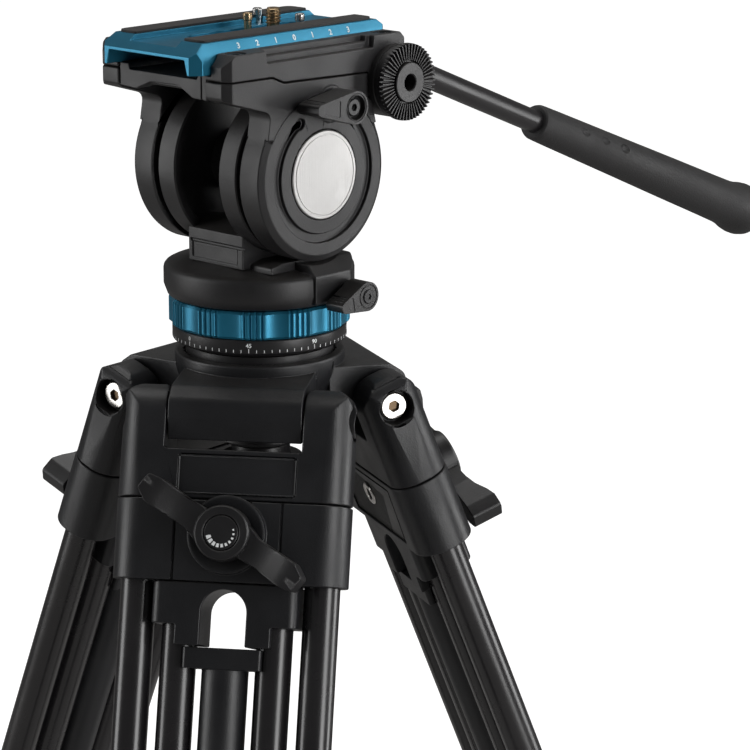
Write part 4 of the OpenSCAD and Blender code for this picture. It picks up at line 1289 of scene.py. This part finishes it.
class TRIPOD_OT_pan_body(bpy.types.Operator):
    """Build the drums, saddle, pan housing, bubble level, drag ring and scale"""
    bl_idname = "tripod.pan_body"
    bl_label = "Pan Body"
    bl_options = {"REGISTER", "UNDO"}

    def execute(self, context):
        shape = context.scene.tripod_shape
        edge = shape.edge
        settle(mirrored(build_drum), "drum_pair", HEAD, "pan_body", "cast_black", "cast_black",
               ["head_body"], 0)
        settle(build_saddle(), "saddle", HEAD, "pan_body", "cast_black", "cast_black",
               ["head_body"], edge)
        settle(build_housing(), "pan_shell", HEAD, "pan_body", "cast_black", "cast_black",
               ["pan_housing"], edge)
        window = lathe([(0, 49.2), (3.4, 49.2), (3.9, 48.9), (3.9, 46.2), (0, 46.2)], "Z",
                       LEVEL_PLACE, 48)
        case = lathe([(4.0, 46.0), (4.9, 46.0), (4.9, 50.2), (4.6, 50.5), (4.2, 50.4),
                      (4.0, 50.0)], "Z", LEVEL_PLACE, 48)
        settle(case, "level_case", HEAD, "pan_body", "vial", "screw_black", ["bubble_level"], 0)
        settle(window, "level_window", HEAD, "pan_body", "vial", "vial", ["bubble_level"], 0.1)
        settle(build_drag_ring(shape), "pan_drag_ring", HEAD, "drag_ring", "blue_anodised",
               "blue_anodised", ["drag_ring"], 0, angle=18)
        settle(build_scale_ring(), "pan_scale", HEAD, "levelling_ball", "scale_black",
               "scale_black", ["scale_ring"], 0)
        settle(build_scale_marks(shape), "pan_scale_marks", HEAD, "levelling_ball", "scale_black",
               "scale_paint", edge=0)
        return {"FINISHED"}


class TRIPOD_OT_handle(bpy.types.Operator):
    """Build the pan handle: rosette, socket, clamp, bent bar and grip"""
    bl_idname = "tripod.handle"
    bl_label = "Pan Handle"
    bl_options = {"REGISTER", "UNDO"}

    def execute(self, context):
        settle(build_handle_bar(), "handle_bar", HEAD, "pan_handle", "handle_black",
               "handle_black", ["handle_tube"], 0)
        settle(build_grip(), "hand_grip", HEAD, "pan_handle", "grip_rubber", "grip_rubber",
               ["handle_grip"], 0)
        settle(from_cad("handle_rosette", HEAD), "handle_socket", HEAD, "pan_handle",
               "knob_black", "knob_black", ["handle_rosette"], 0.3)
        settle(from_cad("handle_clamp", HEAD), "handle_clamp_knob", HEAD, "handle_clamp",
               "knob_black", "knob_black", ["handle_clamp"], 0.6)
        return {"FINISHED"}


class TRIPOD_OT_bowl(bpy.types.Operator):
    """Build the bowl casting with its hinge blocks, and the clamp below it"""
    bl_idname = "tripod.bowl"
    bl_label = "Bowl"
    bl_options = {"REGISTER", "UNDO"}

    def execute(self, context):
        settle(build_bowl(), "bowl_casting", HEAD, "bowl", "leg_plastic", "leg_plastic",
               ["spider"], 0.5, angle=28)
        settle(from_cad("tie_knob", HEAD), "tie_down_knob", HEAD, "tie_knob", "knob_black",
               "knob_black", ["tie_knob"], 0.6)
        return {"FINISHED"}


class TRIPOD_OT_legs(bpy.types.Operator):
    """Build the three legs: forks, clamps, levers, bolts, yokes, guides and feet"""
    bl_idname = "tripod.legs"
    bl_label = "Legs"
    bl_options = {"REGISTER", "UNDO"}

    def execute(self, context):
        shape = context.scene.tripod_shape
        plastic = ("leg_plastic", "leg_plastic")
        settle_legs(build_shoulder(), "fork", "leg", *plastic, "shoulder", 0.7, steps=3)
        settle_legs(build_clamp(), "clamp", "leg", *plastic, "block", 0.5)
        settle_legs(build_lock_nut(), "lock_nut", "leg", "leg_plastic", "screw_steel", edge=0.15)
        settle_legs(build_lever(), "leg_lever", "lever", "knob_black", "knob_black", "lever", 0.35,
                    steps=3, place=lever_place)
        settle_legs(build_lever_cap(), "lever_cap", "lever", "knob_black", "scale_black", edge=0.1,
                    place=lever_place)
        settle_legs(build_lever_gauge(shape), "lever_gauge", "lever", "knob_black", "scale_paint",
                    edge=0, place=lever_place)
        bolts = gather([build_bolt(1), build_bolt(-1),
                        lathe([(0, -38.9), (3.95, -38.9), (3.95, 38.9), (0, 38.9)], "Y")])
        settle_legs(bolts, "hinge_bolt", "leg", "screw_steel", "screw_steel", "bolt", 0.15)
        settle_legs(gather([build_bolt_socket(1), build_bolt_socket(-1)]), "bolt_socket", "leg",
                    "screw_steel", "socket_brown", edge=0)
        mouldings = (("yoke", "middle", "arch_yoke", 0.6),
                     ("mid_collar", "middle", "middle_collar", 0.8),
                     ("collar", "leg", "upper_collar", 0.8),
                     ("centre_leg", "lower", "centre_tube", 0.4))
        for letter in LEGS:
            place = leg_frame(letter)
            for node, body, name, edge in mouldings:
                settle(from_cad(f"{node}_{letter}", place), f"{name}_{letter}", place,
                       f"{body}_{letter}", *plastic, [f"{node}_{letter}"], edge)
            settle(from_cad("foot_" + letter, Matrix.Identity(4)), "foot_pad_" + letter,
                   Matrix.Identity(4), "foot_" + letter, "foot_rubber", "foot_rubber",
                   ["foot_" + letter], 0.5)
        return {"FINISHED"}


class TRIPOD_OT_stage(bpy.types.Operator):
    """Set the floor, soft studio lights, surroundings and camera"""
    bl_idname = "tripod.stage"
    bl_label = "Stage"
    bl_options = {"REGISTER", "UNDO"}

    def execute(self, context):
        stage = context.scene.tripod_stage
        build_floor(stage)
        build_world(context.scene, stage)
        build_lights(stage)
        build_camera(context.scene, stage)
        return {"FINISHED"}


def build_floor(stage):
    """Wide floor that the camera sees as plain white."""
    half = 40
    floor = solid([(-half, -half, 0), (half, -half, 0), (half, half, 0), (-half, half, 0)],
                  [[0, 1, 2, 3]], "floor")
    material = bpy.data.materials.new("floor")
    material.use_nodes = True
    shader = material.node_tree.nodes["Principled BSDF"]
    shader.inputs["Base Color"].default_value = tuple(stage.floor_colour) + (1.0,)
    shader.inputs["Roughness"].default_value = 0.9
    shader.inputs["Emission Color"].default_value = (1.0, 1.0, 1.0, 1.0)
    seen = add(material.node_tree, "ShaderNodeLightPath")
    link(material.node_tree, seen.outputs["Is Camera Ray"], shader.inputs["Emission Strength"])
    floor.data.materials.append(material)


def build_world(scene, stage):
    """Plain surroundings: white to the camera, dim as a light."""
    world = bpy.data.worlds.new("studio")
    world.use_nodes = True
    back = world.node_tree.nodes["Background"]
    back.inputs["Color"].default_value = (1.0, 1.0, 1.0, 1.0)
    seen = add(world.node_tree, "ShaderNodeLightPath")
    level = add(world.node_tree, "ShaderNodeMapRange")
    level.inputs["To Min"].default_value = stage.surround
    level.inputs["To Max"].default_value = 1.0
    link(world.node_tree, seen.outputs["Is Camera Ray"], level.inputs["Value"])
    link(world.node_tree, level.outputs[0], back.inputs["Strength"])
    scene.world = world
    scene.view_settings.view_transform = "Standard"


def soft_light(name, place, aim, width, height, power):
    """Rectangular area light at a place, turned to its aim."""
    lamp = bpy.data.lights.new(name, "AREA")
    lamp.shape = "RECTANGLE"
    lamp.size, lamp.size_y = width, height
    lamp.energy = power
    obj = bpy.data.objects.new(name, lamp)
    obj.location = place
    obj.rotation_euler = (Vector(aim) - Vector(place)).to_track_quat("-Z", "Y").to_euler()
    bpy.context.scene.collection.objects.link(obj)


def build_lights(stage):
    """Large softboxes: one at the left, one overhead and two at the right."""
    aim = Vector(JOINTS["tilt"]["pos_m"])
    turn = stage.azimuth

    def around(angle, reach, height):
        return aim + Vector((math.cos(turn + angle) * reach, math.sin(turn + angle) * reach,
                             height))

    power = stage.key_power
    soft_light("left_box", around(math.radians(-84), 1.9, 0.3), aim, 0.8, 1.9, power * 0.55)
    soft_light("top_box", around(math.radians(180), 0.5, 2.1), aim, 1.8, 1.4, power * 0.65)
    soft_light("right_box", around(math.radians(50), 1.9, 0.0), aim, 0.7, 2.0, power * 0.75)
    soft_light("side_box", around(math.radians(98), 1.9, 0.2), aim, 0.6, 1.6, power * 0.5)


def build_camera(scene, stage):
    """Camera that looks level with the bowl datum from the set direction."""
    turn, rise = stage.azimuth, stage.elevation
    aim = HEAD.to_translation()
    back = Vector((math.cos(rise) * math.cos(turn), math.cos(rise) * math.sin(turn),
                   math.sin(rise)))
    right = Vector((-math.sin(turn), math.cos(turn), 0))
    lens = bpy.data.cameras.new("camera")
    lens.lens = stage.lens
    lens.sensor_width = 36.0
    lens.clip_start, lens.clip_end = 0.02, 100.0
    camera = bpy.data.objects.new("camera", lens)
    facing_back = Matrix((right, back.cross(right), back)).transposed().to_4x4()
    stand = aim + back * stage.distance + right * stage.sideways
    camera.matrix_world = Matrix.Translation(stand) @ facing_back
    scene.collection.objects.link(camera)
    scene.camera = camera


PIECES = (TRIPOD_OT_finishes, TRIPOD_OT_plate, TRIPOD_OT_platform, TRIPOD_OT_locks,
          TRIPOD_OT_pan_body, TRIPOD_OT_handle, TRIPOD_OT_bowl, TRIPOD_OT_legs, TRIPOD_OT_stage)


class TRIPOD_PT_panel(bpy.types.Panel):
    """Sidebar panel with the settings and one button for each piece"""
    bl_idname = "TRIPOD_PT_panel"
    bl_label = "Video Tripod"
    bl_space_type = "VIEW_3D"
    bl_region_type = "UI"
    bl_category = "Tripod"

    def draw(self, context):
        for group_name in ("tripod_finish", "tripod_shape", "tripod_stage"):
            settings = getattr(context.scene, group_name)
            box = self.layout.box()
            for key in settings.__annotations__:
                box.prop(settings, key)
        for piece in PIECES:
            self.layout.operator(piece.bl_idname)


CLASSES = (TripodFinishSettings, TripodShapeSettings, TripodStageSettings) + PIECES \
    + (TRIPOD_PT_panel,)


def register():
    for entry in CLASSES:
        bpy.utils.register_class(entry)
    bpy.types.Scene.tripod_finish = bpy.props.PointerProperty(type=TripodFinishSettings)
    bpy.types.Scene.tripod_shape = bpy.props.PointerProperty(type=TripodShapeSettings)
    bpy.types.Scene.tripod_stage = bpy.props.PointerProperty(type=TripodStageSettings)


def unregister():
    del bpy.types.Scene.tripod_stage
    del bpy.types.Scene.tripod_shape
    del bpy.types.Scene.tripod_finish
    for entry in reversed(CLASSES):
        bpy.utils.unregister_class(entry)


def main():
    register()
    for piece in PIECES:
        area, name = piece.bl_idname.split(".")
        getattr(getattr(bpy.ops, area), name)()


if __name__ == "__main__":
    main()
